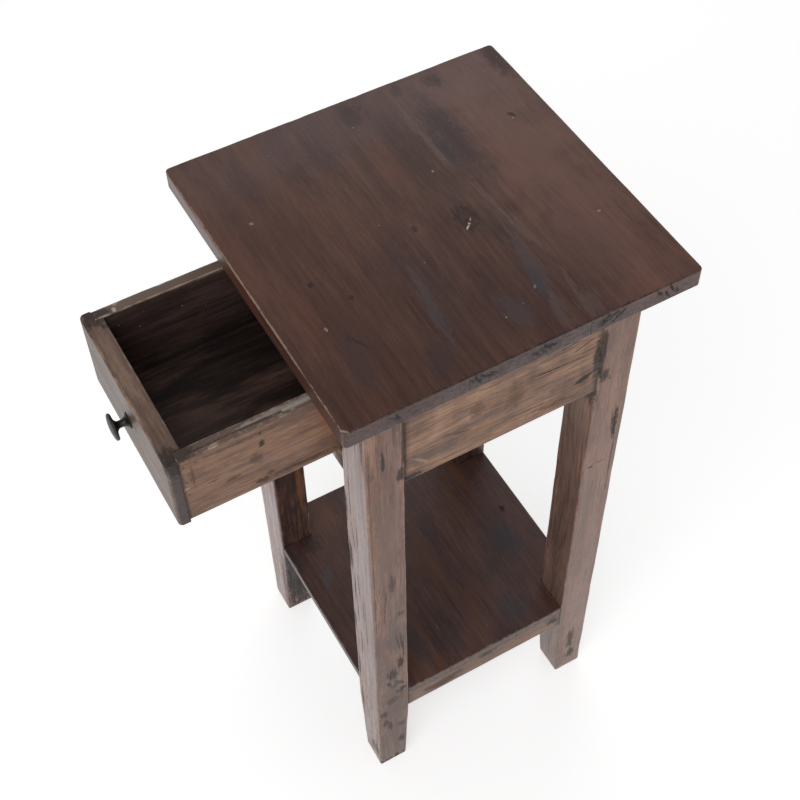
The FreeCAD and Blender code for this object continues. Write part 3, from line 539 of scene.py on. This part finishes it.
apron_marks_and_painted_shade = [
    # right end of the rail under the drawer darkened as painted shade, and the right shelf rail, darker all
    # over
    ((0.09, -FRONT_FACE, 0.592), (0.012, 0.006, 0.016), (46, 36, 34), 0.8),
    ((APRON_FACE, 0, 0.141), (0.012, 0.16, 0.04), (106, 80, 68), 0.7)]
apron_marks_and_painted_shade += face_marks("x", APRON_FACE, [
    # right apron: stains at both leg joints, a pale arc low on the left, two cracks, a darker lower right
    (-0.096, 0.593, 0.012, 0.006, (34, 25, 21), 0.8),
    (-0.085, 0.609, 0.011, 0.002, (188, 160, 136), 0.6, -0.75),
    (-0.1025, 0.64, 0.0011, 0.05, (34, 25, 22), 0.7),
    (0.089, 0.6185, 0.014, 0.0032, (28, 20, 18), 0.85, 0.35),
    (0.1, 0.641, 0.0042, 0.032, (26, 19, 17), 0.85),
    (0.062, 0.6535, 0.019, 0.0008, (24, 17, 15), 0.95, -0.05),
    (0.047, 0.6545, 0.012, 0.0007, (28, 20, 17), 0.9, -0.08),
    (0.06, 0.6, 0.03, 0.005, (84, 62, 50), 0.55),
    (-0.03, 0.648, 0.009, 0.014, (92, 68, 56), 0.6),
    (0.013, 0.64, 0.01, 0.02, (96, 72, 58), 0.5),
    # scratches and smudges along it
    (-0.06, 0.69, 0.03, 0.004, (92, 68, 56), 0.6, 0.05),
    (0.05, 0.7, 0.034, 0.006, (90, 66, 54), 0.6, 0.04),
    (0.075, 0.68, 0.016, 0.0016, (48, 35, 29), 0.75, 0.25),
    (0.082, 0.668, 0.012, 0.0012, (52, 38, 31), 0.7, 0.35),
    (-0.01, 0.672, 0.018, 0.0011, (74, 54, 44), 0.7, -0.1),
    (-0.048, 0.626, 0.016, 0.0012, (82, 60, 49), 0.7, -0.3),
    (0.02, 0.61, 0.024, 0.0014, (86, 63, 51), 0.65, -0.08),
    (0.035, 0.624, 0.02, 0.006, (178, 142, 116), 0.45, 0.2),
    (-0.025, 0.615, 0.026, 0.008, (174, 137, 110), 0.45, 0.1),
    # right shelf rail: dark patches and a warm worn stretch
    (0, 0.153, 0.012, 0.006, (48, 36, 32), 0.7),
    (0.045, 0.139, 0.026, 0.006, (160, 122, 94), 0.5),
    (-0.06, 0.14, 0.03, 0.008, (78, 58, 50), 0.65),
    (0.092, 0.147, 0.009, 0.009, (40, 30, 27), 0.75)], depth=0.006)
rail_wood = stained_wood(
    "rail_wood_stained", [(100, 71, 55), (152, 112, 88), (189, 147, 117), (186, 156, 132), (80, 59, 49)],
    marks=apron_marks_and_painted_shade, rough=(0.3, 0.54), curl=0.12, relief=0.3, contrast=1.7, lined=0.6,
    clouds=[((6, 20, 20), 0.5, 0.74, (110, 81, 65), 0.55),
            ((26, 140, 140), 0.6, 0.72, (80, 58, 47), 0.5)])

for number, (side, way) in enumerate({"left": -1, "right": 1}.items()):
    across = sorted([way * APRON_FACE, way * (APRON_FACE - APRON_THICK)])
    plan = oblong(*across, -LEG_INNER[1], LEG_INNER[1])
    add_board(f"side_apron_{side}", f"apron_{side}", plan, APRON_Z, APRON_ARRIS, "y",
              (210 + number, 31 + number), rail_wood, "table", "rail_wood")
    add_board(f"shelf_bearer_{side}", f"shelf_rail_{side}", plan, SHELF_RAIL_Z, APRON_ARRIS, "y",
              (230 + number, 41 + number), rail_wood, "table", "rail_wood")

back_plan = oblong(-LEG_INNER[0], LEG_INNER[0], FRONT_FACE - APRON_THICK, FRONT_FACE)
front_plan = oblong(-LEG_INNER[0], LEG_INNER[0], -FRONT_FACE, -FRONT_FACE + APRON_THICK)
for label, node, plan, z_span, seed in (
        ("back_apron", "apron_back", back_plan, APRON_Z, 51),
        ("rail_over_drawer", "front_top_rail", front_plan, TOP_RAIL_Z, 52),
        ("rail_under_drawer", "front_drawer_rail", front_plan, DRAWER_RAIL_Z, 53)):
    add_board(label, node, plan, z_span, RAIL_ARRIS, "x", (250 + seed, seed), rail_wood, "table",
              "rail_wood")

# Drawer runners, guides, kickers and stops
# Unstained strips inside the frame: a runner carries each drawer side, a guide keeps it straight, a kicker
# stops it tipping and a stop block ends its travel. Sawn, not planed, then screwed or glued in place.


def dress(material, *nodes):
    """Give nodes of the CAD model that stay in the scene their finish."""
    for node in nodes:
        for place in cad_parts[node].material_slots:
            place.material = material


sawn, tree, gloss = finish("sawn_wood")
here = on_object(tree)
lines = drawn_noise(here, (220, 7, 220), 4, 0.6)
teeth = drawn_noise(here, (40, 620, 40), 2, 0.5)
grime = fade(drawn_noise(here, (18, 9, 18), 4, 0.6), 0.45, 0.7, 0, 0.6)
colour = tint(fade(lines, 0.3, 0.7), tone(116, 88, 62), tone(158, 126, 92))
dull = wire(tree, "ShaderNodeMapRange", lines, 0.3, 0.7, 0.65, 0.85)
ridges = plus(times(teeth, 0.7), lines)
coat(gloss, base_color=tint(grime, colour, tone(84, 64, 48)), roughness=dull,
     normal=raised(ridges, 0.4, 0.0008))
for strip in ("runner", "guide", "kicker", "stop"):
    dress(sawn, f"drawer_{strip}_left", f"drawer_{strip}_right")

dull_steel, tree, gloss = finish("dull_steel")
stains = drawn_noise(on_object(tree), (420, 420, 420), 4, 0.6)
rust = fade(stains, 0.5, 0.68)
coat(gloss, base_color=tint(rust, tone(96, 92, 90), tone(74, 52, 40)),
     metallic=fade(stains, 0.45, 0.65, 0.9, 0.3), roughness=fade(stains, 0.35, 0.7, 0.38, 0.75))
dress(dull_steel, "runner_screws")

# Shelf
# Three boards glued edge to edge, notched round the legs and glued down on the shelf rails. Stained
# darker than the legs, with bluish and rusty clouds and small pale knocks.
SHELF_Z = (0.1555, 0.1675)
SHELF_X = 0.1415
SHELF_SEAMS = (-0.143, -0.049, 0.04, 0.143)
NOTCH = (0.0966, 0.0394)
SEAM_ARRIS = (0.0001, 0.0001)
SHELF_ARRIS = (0.0012, 0.0012)

shelf_marks = face_marks("z", SHELF_Z[1], [
    (-0.09, 0.095, 0.034, 0.01, (104, 68, 44), 0.55),
    (0.03, 0.1, 0.03, 0.016, (58, 60, 66), 0.6, 0.2),
    (-0.055, 0.07, 0.05, 0.008, (98, 66, 46), 0.5),
    (0.11, 0.055, 0.02, 0.02, (56, 58, 64), 0.6),
    (-0.07, -0.01, 0.045, 0.016, (54, 54, 62), 0.6, 0.1),
    (0, 0.002, 0.06, 0.007, (96, 64, 44), 0.5),
    (0.092, -0.07, 0.03, 0.014, (54, 54, 62), 0.55),
    (-0.012, 0.118, 0.005, 0.0035, (28, 23, 24), 0.8),
    (-0.033, -0.116, 0.018, 0.006, (72, 76, 82), 0.5, -0.6),
    (-0.116, -0.08, 0.026, 0.016, (116, 80, 60), 0.5, 0.2),
    (-0.093, -0.113, 0.022, 0.016, (40, 31, 32), 0.5)])
shelf_wood = stained_wood(
    "shelf_wood_stained", [(66, 46, 43), (86, 61, 56), (106, 77, 68), (150, 124, 108), (112, 88, 78)],
    marks=shelf_marks, rough=(0.28, 0.46), relief=0.22, specks=0.1, contrast=0.8,
    clouds=[((9, 18, 18), 0.5, 0.68, (52, 48, 54), 0.6),
            ((8, 24, 24), 0.52, 0.68, (100, 66, 46), 0.55)])

neck, notch = NOTCH
for number, label in enumerate(("front", "middle", "back")):
    y_low, y_high = SHELF_SEAMS[number], SHELF_SEAMS[number + 1]
    if label == "front":
        cut = y_low + notch
        plan = [(-neck, y_low), (neck, y_low), (neck, cut), (SHELF_X, cut), (SHELF_X, y_high),
                (-SHELF_X, y_high), (-SHELF_X, cut), (-neck, cut)]
        shown = (0, 3, 5)
    elif label == "back":
        cut = y_high - notch
        plan = [(-SHELF_X, y_low), (SHELF_X, y_low), (SHELF_X, cut), (neck, cut), (neck, y_high),
                (-neck, y_high), (-neck, cut), (-SHELF_X, cut)]
        shown = (1, 4, 7)
    else:
        plan = oblong(-SHELF_X, SHELF_X, y_low, y_high)
        shown = (1, 3)
    edges = [SHELF_ARRIS if edge in shown else SEAM_ARRIS for edge in range(len(plan))]
    add_board(f"shelf_plank_{label}", f"shelf_board_{label}", plan, SHELF_Z, edges, "x",
              (310 + 10 * number, 61 + number), shelf_wood, "table", "shelf_wood",
              margins=(0.001, 0.003), wave=0.00004)

# Top
# Three boards glued edge to edge and nailed down on the frame, the nail holes filled with pale putty.
# Stained a dark brown, rubbed to a satin, with a worn front arris partly lit by a painted highlight, dark
# lines along the other arrises, a left end greyed by painted sheen and a cracked knot near the middle.
TOP_Z = (0.7295, 0.7498)
TOP_HALF = (0.174, 0.176)
TOP_SEAM = 0.060
TOP_ARRIS = (0.0015, 0.0012)
TOP_ROUND = 0.0045
END_MIDDLE = 0.740
PUTTY_PLACES = [(-0.071, -0.137), (0.071, -0.137), (-0.071, 0.137), (0.071, 0.137), (-0.135, 0),
                (0.135, 0)]
PUTTY_RADII = (0.0018, 0.0019, 0.0012, 0.0019, 0.001, 0.001)

top_marks_and_painted_light = face_marks("z", TOP_Z[1], [
    # the back board lighter and warmer, the right end and the front board darker
    (0, 0.13, 0.3, 0.062, (136, 96, 83), 0.45),
    (0.13, -0.03, 0.07, 0.13, (64, 43, 39), 0.5),
    (0, -0.125, 0.2, 0.06, (90, 55, 42), 0.4)], depth=0.02)
top_marks_and_painted_light += face_marks("z", TOP_Z[1], [
    # bluish bands, and pale wipes beside them
    (-0.09, 0.074, 0.062, 0.013, (54, 50, 54), 0.55),
    (-0.068, 0.06, 0.034, 0.006, (58, 60, 64), 0.65),
    (-0.105, 0.0515, 0.052, 0.0045, (118, 102, 98), 0.42, 0.01),
    (-0.16, 0.06, 0.01, 0.006, (64, 64, 68), 0.6),
    (0.092, 0.051, 0.046, 0.007, (84, 80, 86), 0.38, -0.12),
    (0.112, 0.0445, 0.03, 0.0064, (60, 60, 66), 0.5, -0.12),
    (0.005, 0.0612, 0.036, 0.0028, (116, 98, 93), 0.24, 0.03),
    (0.06, 0.068, 0.036, 0.0038, (114, 96, 92), 0.26, 0.12),
    (0.128, 0.069, 0.022, 0.0035, (118, 100, 96), 0.2, -0.15),
    (0.155, 0.07, 0.018, 0.01, (98, 84, 82), 0.35),
    (0.15, 0.043, 0.022, 0.006, (104, 92, 90), 0.28, -0.1),
    (0.095, -0.048, 0.045, 0.006, (84, 78, 84), 0.4, -0.12),
    (0.13, 0.01, 0.022, 0.012, (76, 66, 72), 0.4)], depth=0.01)
top_marks_and_painted_light += [
    # a thin pale line along the front arris and round the right front corner, partly a rubbed arris and
    # partly a painted highlight
    ((0, -0.1752, 0.7496), (0.172, 0.0009, 0.0009), (176, 148, 130), 0.6),
    ((0.1712, -0.1732, 0.7492), (0.0046, 0.001, 0.001), (186, 158, 138), 0.7, (0, 0, 0.785)),
    # a dark line along the other three arrises, and a greyer left end that is painted sheen
    ((0.1738, 0, 0.7494), (0.001, 0.2, 0.001), (40, 30, 30), 0.8),
    ((-0.1738, 0, 0.7494), (0.001, 0.2, 0.001), (46, 37, 39), 0.6),
    ((0, 0.1756, 0.7494), (0.2, 0.001, 0.001), (46, 36, 36), 0.6),
    ((-0.145, 0, 0.75), (0.05, 0.2, 0.02), (104, 84, 84), 0.35)]
top_marks_and_painted_light += face_marks("z", TOP_Z[1], [
    # dark corners and smudges
    (-0.155, 0.168, 0.035, 0.009, (50, 43, 45), 0.55),
    (-0.155, 0.097, 0.012, 0.009, (50, 41, 45), 0.45),
    (-0.15, 0.005, 0.016, 0.015, (52, 44, 48), 0.4),
    (-0.12, -0.045, 0.03, 0.012, (50, 40, 44), 0.28, 0.1),
    (-0.11, -0.12, 0.03, 0.014, (52, 42, 46), 0.25, 0.1),
    (0.15, -0.072, 0.022, 0.011, (46, 38, 42), 0.42, -0.15),
    (0.12, -0.132, 0.032, 0.012, (50, 41, 45), 0.36, -0.1),
    (0.095, -0.121, 0.011, 0.0022, (42, 34, 37), 0.7, 0.45),
    # the knot, its pale cracks, and small knocks
    (0.02, 0.031, 0.017, 0.0115, (40, 30, 31), 0.7, -0.2),
    (0.021, 0.0315, 0.01, 0.006, (84, 58, 51), 0.6, -0.2),
    (0.024, 0.03, 0.007, 0.003, (40, 30, 31), 0.6, -0.5),
    (0.0225, 0.033, 0.003, 0.0011, (206, 186, 156), 0.95, -0.6),
    (0.0262, 0.0298, 0.0016, 0.0013, (196, 180, 156), 0.9),
    (0.0292, 0.0265, 0.0032, 0.001, (206, 190, 164), 0.95, -0.8),
    (-0.047, 0.035, 0.0011, 0.001, (190, 176, 160), 0.8),
    (0.118, 0.0395, 0.0018, 0.0011, (160, 150, 142), 0.45, -0.5),
    (0.02, -0.126, 0.003, 0.0026, (34, 26, 28), 0.8),
    (0.05, -0.102, 0.0026, 0.0024, (38, 29, 31), 0.7),
    (0.008, -0.015, 0.0044, 0.0028, (48, 41, 46), 0.7),
    (-0.076, 0.138, 0.005, 0.0026, (40, 32, 34), 0.7, 0.3)], depth=0.01)
# dark scratches in clusters on the right end, each cluster over a faint smudge
draw = np.random.default_rng(437)
for middle, lean, count in (
        (-0.046, 0.7, 8), (0.012, 0.9, 7), (0.081, -0.6, 9), (0.138, 0.5, 5), (-0.12, 0.8, 4)):
    scratches = [(middle, END_MIDDLE, 0.026, 0.009, (60, 48, 48), 0.28)]
    for scratch in range(count):
        y, z = middle + draw.uniform(-0.012, 0.012), END_MIDDLE + draw.uniform(-0.003, 0.004)
        wide, tall = draw.uniform(0.0011, 0.0024), draw.uniform(0.003, 0.008)
        turn, strength = lean + draw.uniform(-0.4, 0.4), draw.uniform(0.55, 0.95)
        scratches.append((y, z, wide, tall, (24, 19, 20), strength, turn))
    top_marks_and_painted_light += face_marks("x", TOP_HALF[0], scratches, depth=0.01)
top_wood = stained_wood(
    "top_wood_stained", [(65, 41, 35), (85, 55, 46), (106, 71, 57), (150, 122, 106), (108, 88, 87)],
    marks=top_marks_and_painted_light, rough=(0.28, 0.44), relief=0.2, specks=0.05,
    contrast=1.1, rubbed=0.12, scuffed=0.1, shine=0.3,
    clouds=[((6, 18, 18), 0.5, 0.7, (62, 46, 48), 0.55),
            ((6, 24, 24), 0.51, 0.68, (108, 70, 52), 0.55)])

half, deep = TOP_HALF
for number, (label, y_low, y_high, front_edge, back_edge, rounds) in enumerate((
        ("front", -deep, -TOP_SEAM, TOP_ARRIS, SEAM_ARRIS, (TOP_ROUND, TOP_ROUND, 0, 0)),
        ("middle", -TOP_SEAM, TOP_SEAM, SEAM_ARRIS, SEAM_ARRIS, 0),
        ("back", TOP_SEAM, deep, SEAM_ARRIS, TOP_ARRIS, (0, 0, TOP_ROUND, TOP_ROUND)))):
    plan = oblong(-half, half, y_low, y_high)
    edges = [front_edge, TOP_ARRIS, back_edge, TOP_ARRIS]
    add_board(f"top_plank_{label}", f"top_board_{label}", plan, TOP_Z, edges, "x",
              (410 + 10 * number, 71 + number), top_wood, "table", "top_wood",
              rounds=rounds, margins=(0.0006, 0.0014), wave=0.00005, chips=1.2)
dress(dull_steel, "top_nails")

putty, tree, gloss = finish("pale_putty")
crumbs = drawn_noise(on_object(tree), (900, 900, 900), 3, 0.6)
colour = tint(fade(crumbs, 0.35, 0.65), tone(96, 78, 66), tone(168, 150, 130))
coat(gloss, base_color=colour, roughness=fade(crumbs, 0.3, 0.7, 0.9, 0.6))


def putty_dab(centre, radius, seed):
    """Rings of a low dab: a circle whose radius wanders round it, rising as a shallow dome to its middle."""
    around = np.linspace(0, 2 * np.pi, 24, endpoint=False)
    share = np.array([1, 1, 0.9, 0.7, 0.4, 0.08])[:, None]
    reach = radius * (1 + 0.32 * wander(around * 0.02, seed, 0.03, 0.13)) * share
    stretch = np.random.default_rng(seed).uniform(0.75, 1.25)
    rise = np.array([-0.001, 0, 0.0001, 0.00016, 0.00019, 0.0002])[:, None] + TOP_Z[1] + 0 * around
    x, y = centre
    return np.stack([x + stretch * reach * np.cos(around), y + reach * np.sin(around) / stretch, rise], -1)


for number, (place, radius) in enumerate(zip(PUTTY_PLACES, PUTTY_RADII)):
    add_piece(f"putty_dab_{number + 1}", putty_dab(place, radius, 500 + number), "x", 80 + number, putty,
              "table", "filler", ["top_fillers"] if number == 0 else [])

# Drawer
# A box of stained boards: the sides lie in rabbets behind the ends of the front and are pinned there, the
# back is pinned between them, and a thin bottom slides into grooves. It is stained like the frame outside,
# and darker on its inside faces, back and bottom, which also paints the shade inside the drawer.
FRONT_X = 0.096
FRONT_Y = (-0.3025, -0.2915, -0.2835)
FRONT_Z = (0.607, 0.697)
FRONT_ROUND = 0.0045
FRONT_ARRIS = (0.002, 0.002)
FRONT_END_ARRIS = (0.0018, 0.0018)
FRONT_BACK_ARRIS = (0.0014, 0.0008)
RABBET_ARRIS = (0.0004, 0.0004)
SIDE_X = (0.083, 0.0948)
SIDE_Y = (-0.2915, -0.0405)
SIDE_Z = (0.61, 0.697)
SIDE_OUTER_ARRIS = (0.0022, 0.0012)
SIDE_INNER_ARRIS = (0.001, 0.0008)
SIDE_END_ARRIS = (0.0012, 0.0008)
BACK_Y = (-0.0525, -0.0405)
BACK_Z = (0.628, 0.692)
BACK_ARRIS = (0.001, 0.0006)
BOTTOM_Y = (-0.2883, -0.0405)
BOTTOM_Z = (0.622, 0.628)
BOTTOM_ARRIS = (0.0003, 0.0003)
PIN_Y = -0.2875
PIN_Z = (0.6454, 0.664, 0.686)
PIN_RADIUS = 0.0013

# the front's inside faces take a darker stain, partly painted shade inside the drawer
front_wood = stained_wood(
    "drawer_front_stained", [(80, 62, 53), (116, 92, 79), (148, 121, 104), (176, 150, 130), (70, 60, 62)],
    rough=(0.32, 0.56), relief=0.3, specks=0.06, inside=(82, 57, 48),
    clouds=[((9, 24, 24), 0.5, 0.7, (70, 54, 48), 0.55)],
    marks=[((0.096, -0.297, 0.69), (0.01, 0.009, 0.01), (42, 34, 34), 0.75),
           ((0.092, -0.293, 0.697), (0.018, 0.018, 0.006), (46, 36, 34), 0.8),
           ((-0.092, -0.292, 0.697), (0.02, 0.02, 0.006), (50, 41, 40), 0.8)])
plan = [(-FRONT_X, FRONT_Y[0]), (FRONT_X, FRONT_Y[0]), (FRONT_X, FRONT_Y[1]), (SIDE_X[0], FRONT_Y[1]),
        (SIDE_X[0], FRONT_Y[2]), (-SIDE_X[0], FRONT_Y[2]), (-SIDE_X[0], FRONT_Y[1]), (-FRONT_X, FRONT_Y[1])]
edges = [FRONT_ARRIS, FRONT_END_ARRIS, RABBET_ARRIS, RABBET_ARRIS, FRONT_BACK_ARRIS, RABBET_ARRIS,
         RABBET_ARRIS, FRONT_END_ARRIS]
add_board("drawer_face", "drawer_front", plan, FRONT_Z, edges, "x", (610, 91), front_wood, "drawer",
          "drawer_front_wood", hub=(0, -0.2955), rounds=(FRONT_ROUND, FRONT_ROUND, 0, 0, 0, 0, 0, 0),
          margins=(0.0008, 0.002), chips=1, inner_edges=(3, 4, 5))

side_marks = face_marks("z", SIDE_Z[1], [
    # rims gone grey from handling, dark at the front corners
    (-0.089, -0.166, 0.022, 0.22, (118, 103, 94), 0.88),
    (0.089, -0.166, 0.022, 0.22, (102, 86, 78), 0.88)], depth=0.003)
side_marks += face_marks("z", SIDE_Z[1], [(-0.089, -0.285, 0.012, 0.011, (52, 43, 42), 0.8)])
side_marks += face_marks("z", SIDE_Z[1], [
    (0.089, -0.284, 0.012, 0.013, (56, 45, 42), 0.75),
    # a dark line and pale flakes along the right rim, pale chips and a worn inner arris on the left
    (0.0905, -0.225, 0.0008, 0.06, (50, 40, 37), 0.7),
    (0.0872, -0.185, 0.0026, 0.056, (190, 180, 172), 0.5),
    (0.0905, -0.173, 0.002, 0.018, (196, 186, 178), 0.6),
    (-0.086, -0.272, 0.0034, 0.0018, (200, 190, 178), 0.75),
    (-0.0915, -0.269, 0.0016, 0.003, (190, 178, 166), 0.65)], depth=0.003)
side_marks.append(((-0.0834, -0.16, 0.6966), (0.0006, 0.13, 0.0008), (178, 150, 126), 0.65))
side_marks += face_marks("x", SIDE_X[1], [
    # square plugs, glue at the front joint, dark patches and the streak along the lower edge
    (-0.2163, 0.6713, 0.003, 0.0046, (66, 56, 50), 0.95),
    (-0.2163, 0.687, 0.0016, 0.0022, (46, 37, 33), 0.9),
    (-0.2912, 0.653, 0.0006, 0.048, (196, 172, 150), 0.75),
    (-0.287, 0.668, 0.0024, 0.011, (156, 130, 112), 0.5),
    (-0.289, 0.655, 0.0032, 0.0018, (196, 176, 156), 0.7),
    (-0.281, 0.67, 0.0014, 0.018, (72, 56, 49), 0.55),
    (-0.2647, 0.65, 0.006, 0.0016, (70, 52, 43), 0.6),
    (-0.246, 0.641, 0.007, 0.0018, (62, 46, 38), 0.7, 0.12),
    (-0.223, 0.654, 0.007, 0.008, (80, 61, 52), 0.6),
    (-0.22, 0.618, 0.007, 0.005, (58, 44, 37), 0.75),
    (-0.212, 0.625, 0.004, 0.004, (66, 52, 40), 0.6),
    (-0.18, 0.6185, 0.04, 0.0026, (62, 45, 37), 0.7),
    (-0.235, 0.687, 0.048, 0.0022, (66, 51, 44), 0.6),
    (-0.157, 0.665, 0.004, 0.01, (150, 96, 62), 0.5, 0.2),
    (-0.24, 0.6715, 0.0036, 0.001, (176, 142, 110), 0.7),
    (-0.185, 0.674, 0.0034, 0.001, (176, 142, 110), 0.7)], depth=0.006)
# the sides' inside faces take a darker stain, partly painted shade inside the drawer
side_wood = stained_wood(
    "drawer_side_stained", [(94, 67, 53), (130, 95, 75), (158, 121, 97), (186, 166, 146), (84, 62, 50)],
    marks=side_marks, rough=(0.34, 0.6), relief=0.3, specks=0.12, inside=(86, 67, 65),
    scuffed=0.4, rubbed=0.8, contrast=1.8, lined=0.6,
    clouds=[((10, 36, 36), 0.5, 0.68, (98, 71, 57), 0.55)])
# the back and bottom are stained dark, partly painted shade inside the drawer
inside_wood_and_shade = stained_wood(
    "drawer_inside_stain_and_shade", [(32, 24, 22), (64, 47, 42), (102, 76, 66), (114, 92, 78), (60, 46, 40)],
    rough=(0.36, 0.56), relief=0.25,
    clouds=[((5, 22, 22), 0.48, 0.62, (16, 12, 12), 0.75)])

for number, (side, way) in enumerate({"left": -1, "right": 1}.items()):
    across = sorted([way * SIDE_X[0], way * SIDE_X[1]])
    long_edges = [SIDE_OUTER_ARRIS, SIDE_INNER_ARRIS][::way]
    edges = [SEAM_ARRIS, long_edges[0], SIDE_END_ARRIS, long_edges[1]]
    add_board(f"drawer_cheek_{side}", f"drawer_side_{side}", oblong(*across, *SIDE_Y), SIDE_Z, edges, "y",
              (630 + 10 * number, 94 + number), side_wood, "drawer", "drawer_side_wood",
              margins=(0.001, 0.0026), chips=1, inner_edges=(3,) if way > 0 else (1,))

between_sides = (-SIDE_X[0], SIDE_X[0])
add_board("drawer_tail", "drawer_back", oblong(*between_sides, *BACK_Y), BACK_Z, BACK_ARRIS, "x", (660, 97),
          inside_wood_and_shade, "drawer", "drawer_side_wood")
add_board("drawer_floor", "drawer_bottom", oblong(*between_sides, *BOTTOM_Y), BOTTOM_Z, BOTTOM_ARRIS, "y",
          (670, 98), inside_wood_and_shade, "drawer", "drawer_bottom_wood", margins=(0.0006,))


def pin_head(middle, way, radius):
    """Rings of a driven pin seen at the face of the wood: a short round peg with a shallow dished head."""
    around = np.linspace(0, 2 * np.pi, 20, endpoint=False)
    reach = radius * np.array([1, 1, 0.86, 0.55, 0.12])[:, None]
    out = np.array([-0.002, 0.00012, 0.0002, 0.00015, 0.00012])[:, None] + 0 * around
    x, y, z = middle
    return np.stack([x + way * out, y + way * reach * np.cos(around), z + reach * np.sin(around)], -1)


for number, height in enumerate(PIN_Z):
    for side, way in (("left", -1), ("right", 1)):
        rings = pin_head((way * SIDE_X[1], PIN_Y, height), way, PIN_RADIUS)
        add_piece(f"pin_head_{side}_{number + 1}", rings, "x", 110 + number, dull_steel, "drawer", "steel",
                  ["drawer_front_pins"] if (number, way) == (0, -1) else [])
dress(dull_steel, "drawer_back_pins", "drawer_bottom_pins")

# Knob
# A small turned knob of black iron: a conical foot, a thin stem and a flat domed cap. A screw from inside
# the drawer front holds it.
KNOB_AT = (0, -0.3025, 0.652)

black_iron, tree, gloss = finish("black_iron")
here = on_object(tree)
pits = drawn_noise(here, (700, 700, 700), 4, 0.6)
rubbed = fade(drawn_noise(here, (160, 160, 160), 3, 0.6), 0.52, 0.7)
coat(gloss, base_color=tint(rubbed, tone(22, 21, 22), tone(48, 44, 43)),
     roughness=fade(pits, 0.3, 0.7, 0.32, 0.6), normal=raised(pits, 0.3, 0.0004))


def turned(profile, centre):
    """A profile of (distance out from the drawer front, radius), turned about the knob's axis."""
    around = np.linspace(0, 2 * np.pi, 64, endpoint=False)
    out, radius = np.asarray(profile).T[..., None]
    x, y, z = centre
    return np.stack([x + radius * np.cos(around), y - out + 0 * around, z + radius * np.sin(around)], -1)


sweep = np.linspace(0, np.pi / 2, 7)
knob_profile = np.concatenate([
    [(0, 0.0078), (0.0008, 0.008), (0.001, 0.0079)],
    np.stack([0.0010 + 0.0062 * (1 - np.cos(sweep)), 0.0079 - 0.0044 * np.sin(sweep)], -1)[1:],
    [(0.009, 0.0035)],
    np.stack([0.0092 + 0.0042 * np.sin(sweep), 0.0125 - 0.0090 * np.cos(sweep)], -1)[1:],
    [(0.0142, 0.013), (0.0153, 0.013), (0.016, 0.0126)],
    [(0.0166, 0.0112), (0.0172, 0.0086), (0.0177, 0.0052), (0.01795, 0.0022), (0.018, 0.0003)]])
add_piece("iron_knob", turned(knob_profile, KNOB_AT), "y", 120, black_iron, "drawer", "iron",
          ["drawer_knob"])
dress(dull_steel, "knob_screw")

# Floor, light and camera
# A plain pale studio floor that keeps the table's soft shadow, light walls all round under a dim ceiling,
# one broad lamp at the front and one low behind, and a camera above the right front corner.
FLOOR_HALF = 40.0
FLOOR_Z = -0.0003
FLOOR_LINES = 9
FLOOR_GLOW = 0.58

scene = bpy.context.scene
scene.view_settings.view_transform = "Standard"

span = np.linspace(-FLOOR_HALF, FLOOR_HALF, FLOOR_LINES)
grid_x, grid_y = np.meshgrid(span, span)
spots = np.stack([grid_x, grid_y, np.full_like(grid_x, FLOOR_Z)], -1).reshape(-1, 3)
cell = np.arange(FLOOR_LINES ** 2).reshape(FLOOR_LINES, FLOOR_LINES)
squares = np.stack([cell[:-1, :-1], cell[:-1, 1:], cell[1:, 1:], cell[1:, :-1]], -1).reshape(-1, 4)
floor_mesh = bpy.data.meshes.new("studio_floor")
floor_mesh.from_pydata(spots.tolist(), [], squares.tolist())
floor = bpy.data.objects.new("studio_floor", floor_mesh)
scene.collection.objects.link(floor)
paper, tree, gloss = finish("white_paper")
gloss.inputs["Base Color"].default_value = (0.8, 0.8, 0.8, 1)
gloss.inputs["Roughness"].default_value = 0.9
gloss.inputs["Emission Color"].default_value = (1, 1, 1, 1)
path = wire(tree, "ShaderNodeLightPath").node.outputs
seen = most(path["Is Camera Ray"], path["Is Glossy Ray"])
seen = most(seen, path["Is Transmission Ray"])
coat(gloss, emission_strength=times(seen, FLOOR_GLOW))
floor_mesh.materials.append(paper)

world = bpy.data.worlds.new("studio")
scene.world = world
world.use_nodes = True
tree = world.node_tree
sky = tree.nodes["Background"]
aim = wire(tree, "ShaderNodeTexCoord").node.outputs["Generated"]
rise = wire(tree, "ShaderNodeSeparateXYZ", aim).node.outputs["Z"]
tree.links.new(fade(rise, 0.1, 0.5, 1, 0.25), sky.inputs["Strength"])
sky.inputs["Color"].default_value = (1, 1, 1, 1)

for label, place, aim_at, width, height, power in (
        ("front_lamp", (1.1, -1.2, 2.3), (0, 0, 0.55), 1.5, 1.5, 20),
        ("back_lamp", (-1.71, 0.91, 1.78), (0, 0, 0.75), 1.8, 1.05, 8)):
    lamp = bpy.data.lights.new(label, "AREA")
    lamp.shape, lamp.size, lamp.size_y, lamp.energy = "RECTANGLE", width, height, power
    stand = bpy.data.objects.new(label, lamp)
    stand.location = place
    stand.rotation_euler = (Vector(aim_at) - Vector(place)).to_track_quat("-Z", "Y").to_euler()
    scene.collection.objects.link(stand)

lens = bpy.data.cameras.new("camera")
lens.sensor_width, lens.lens = 36, 64.318
camera = bpy.data.objects.new("camera", lens)
camera.location = (0.77489, -0.45209, 1.66236)
camera.rotation_euler = np.radians((37.2313, 0.7508, 60.4108))
scene.collection.objects.link(camera)
scene.camera = camera
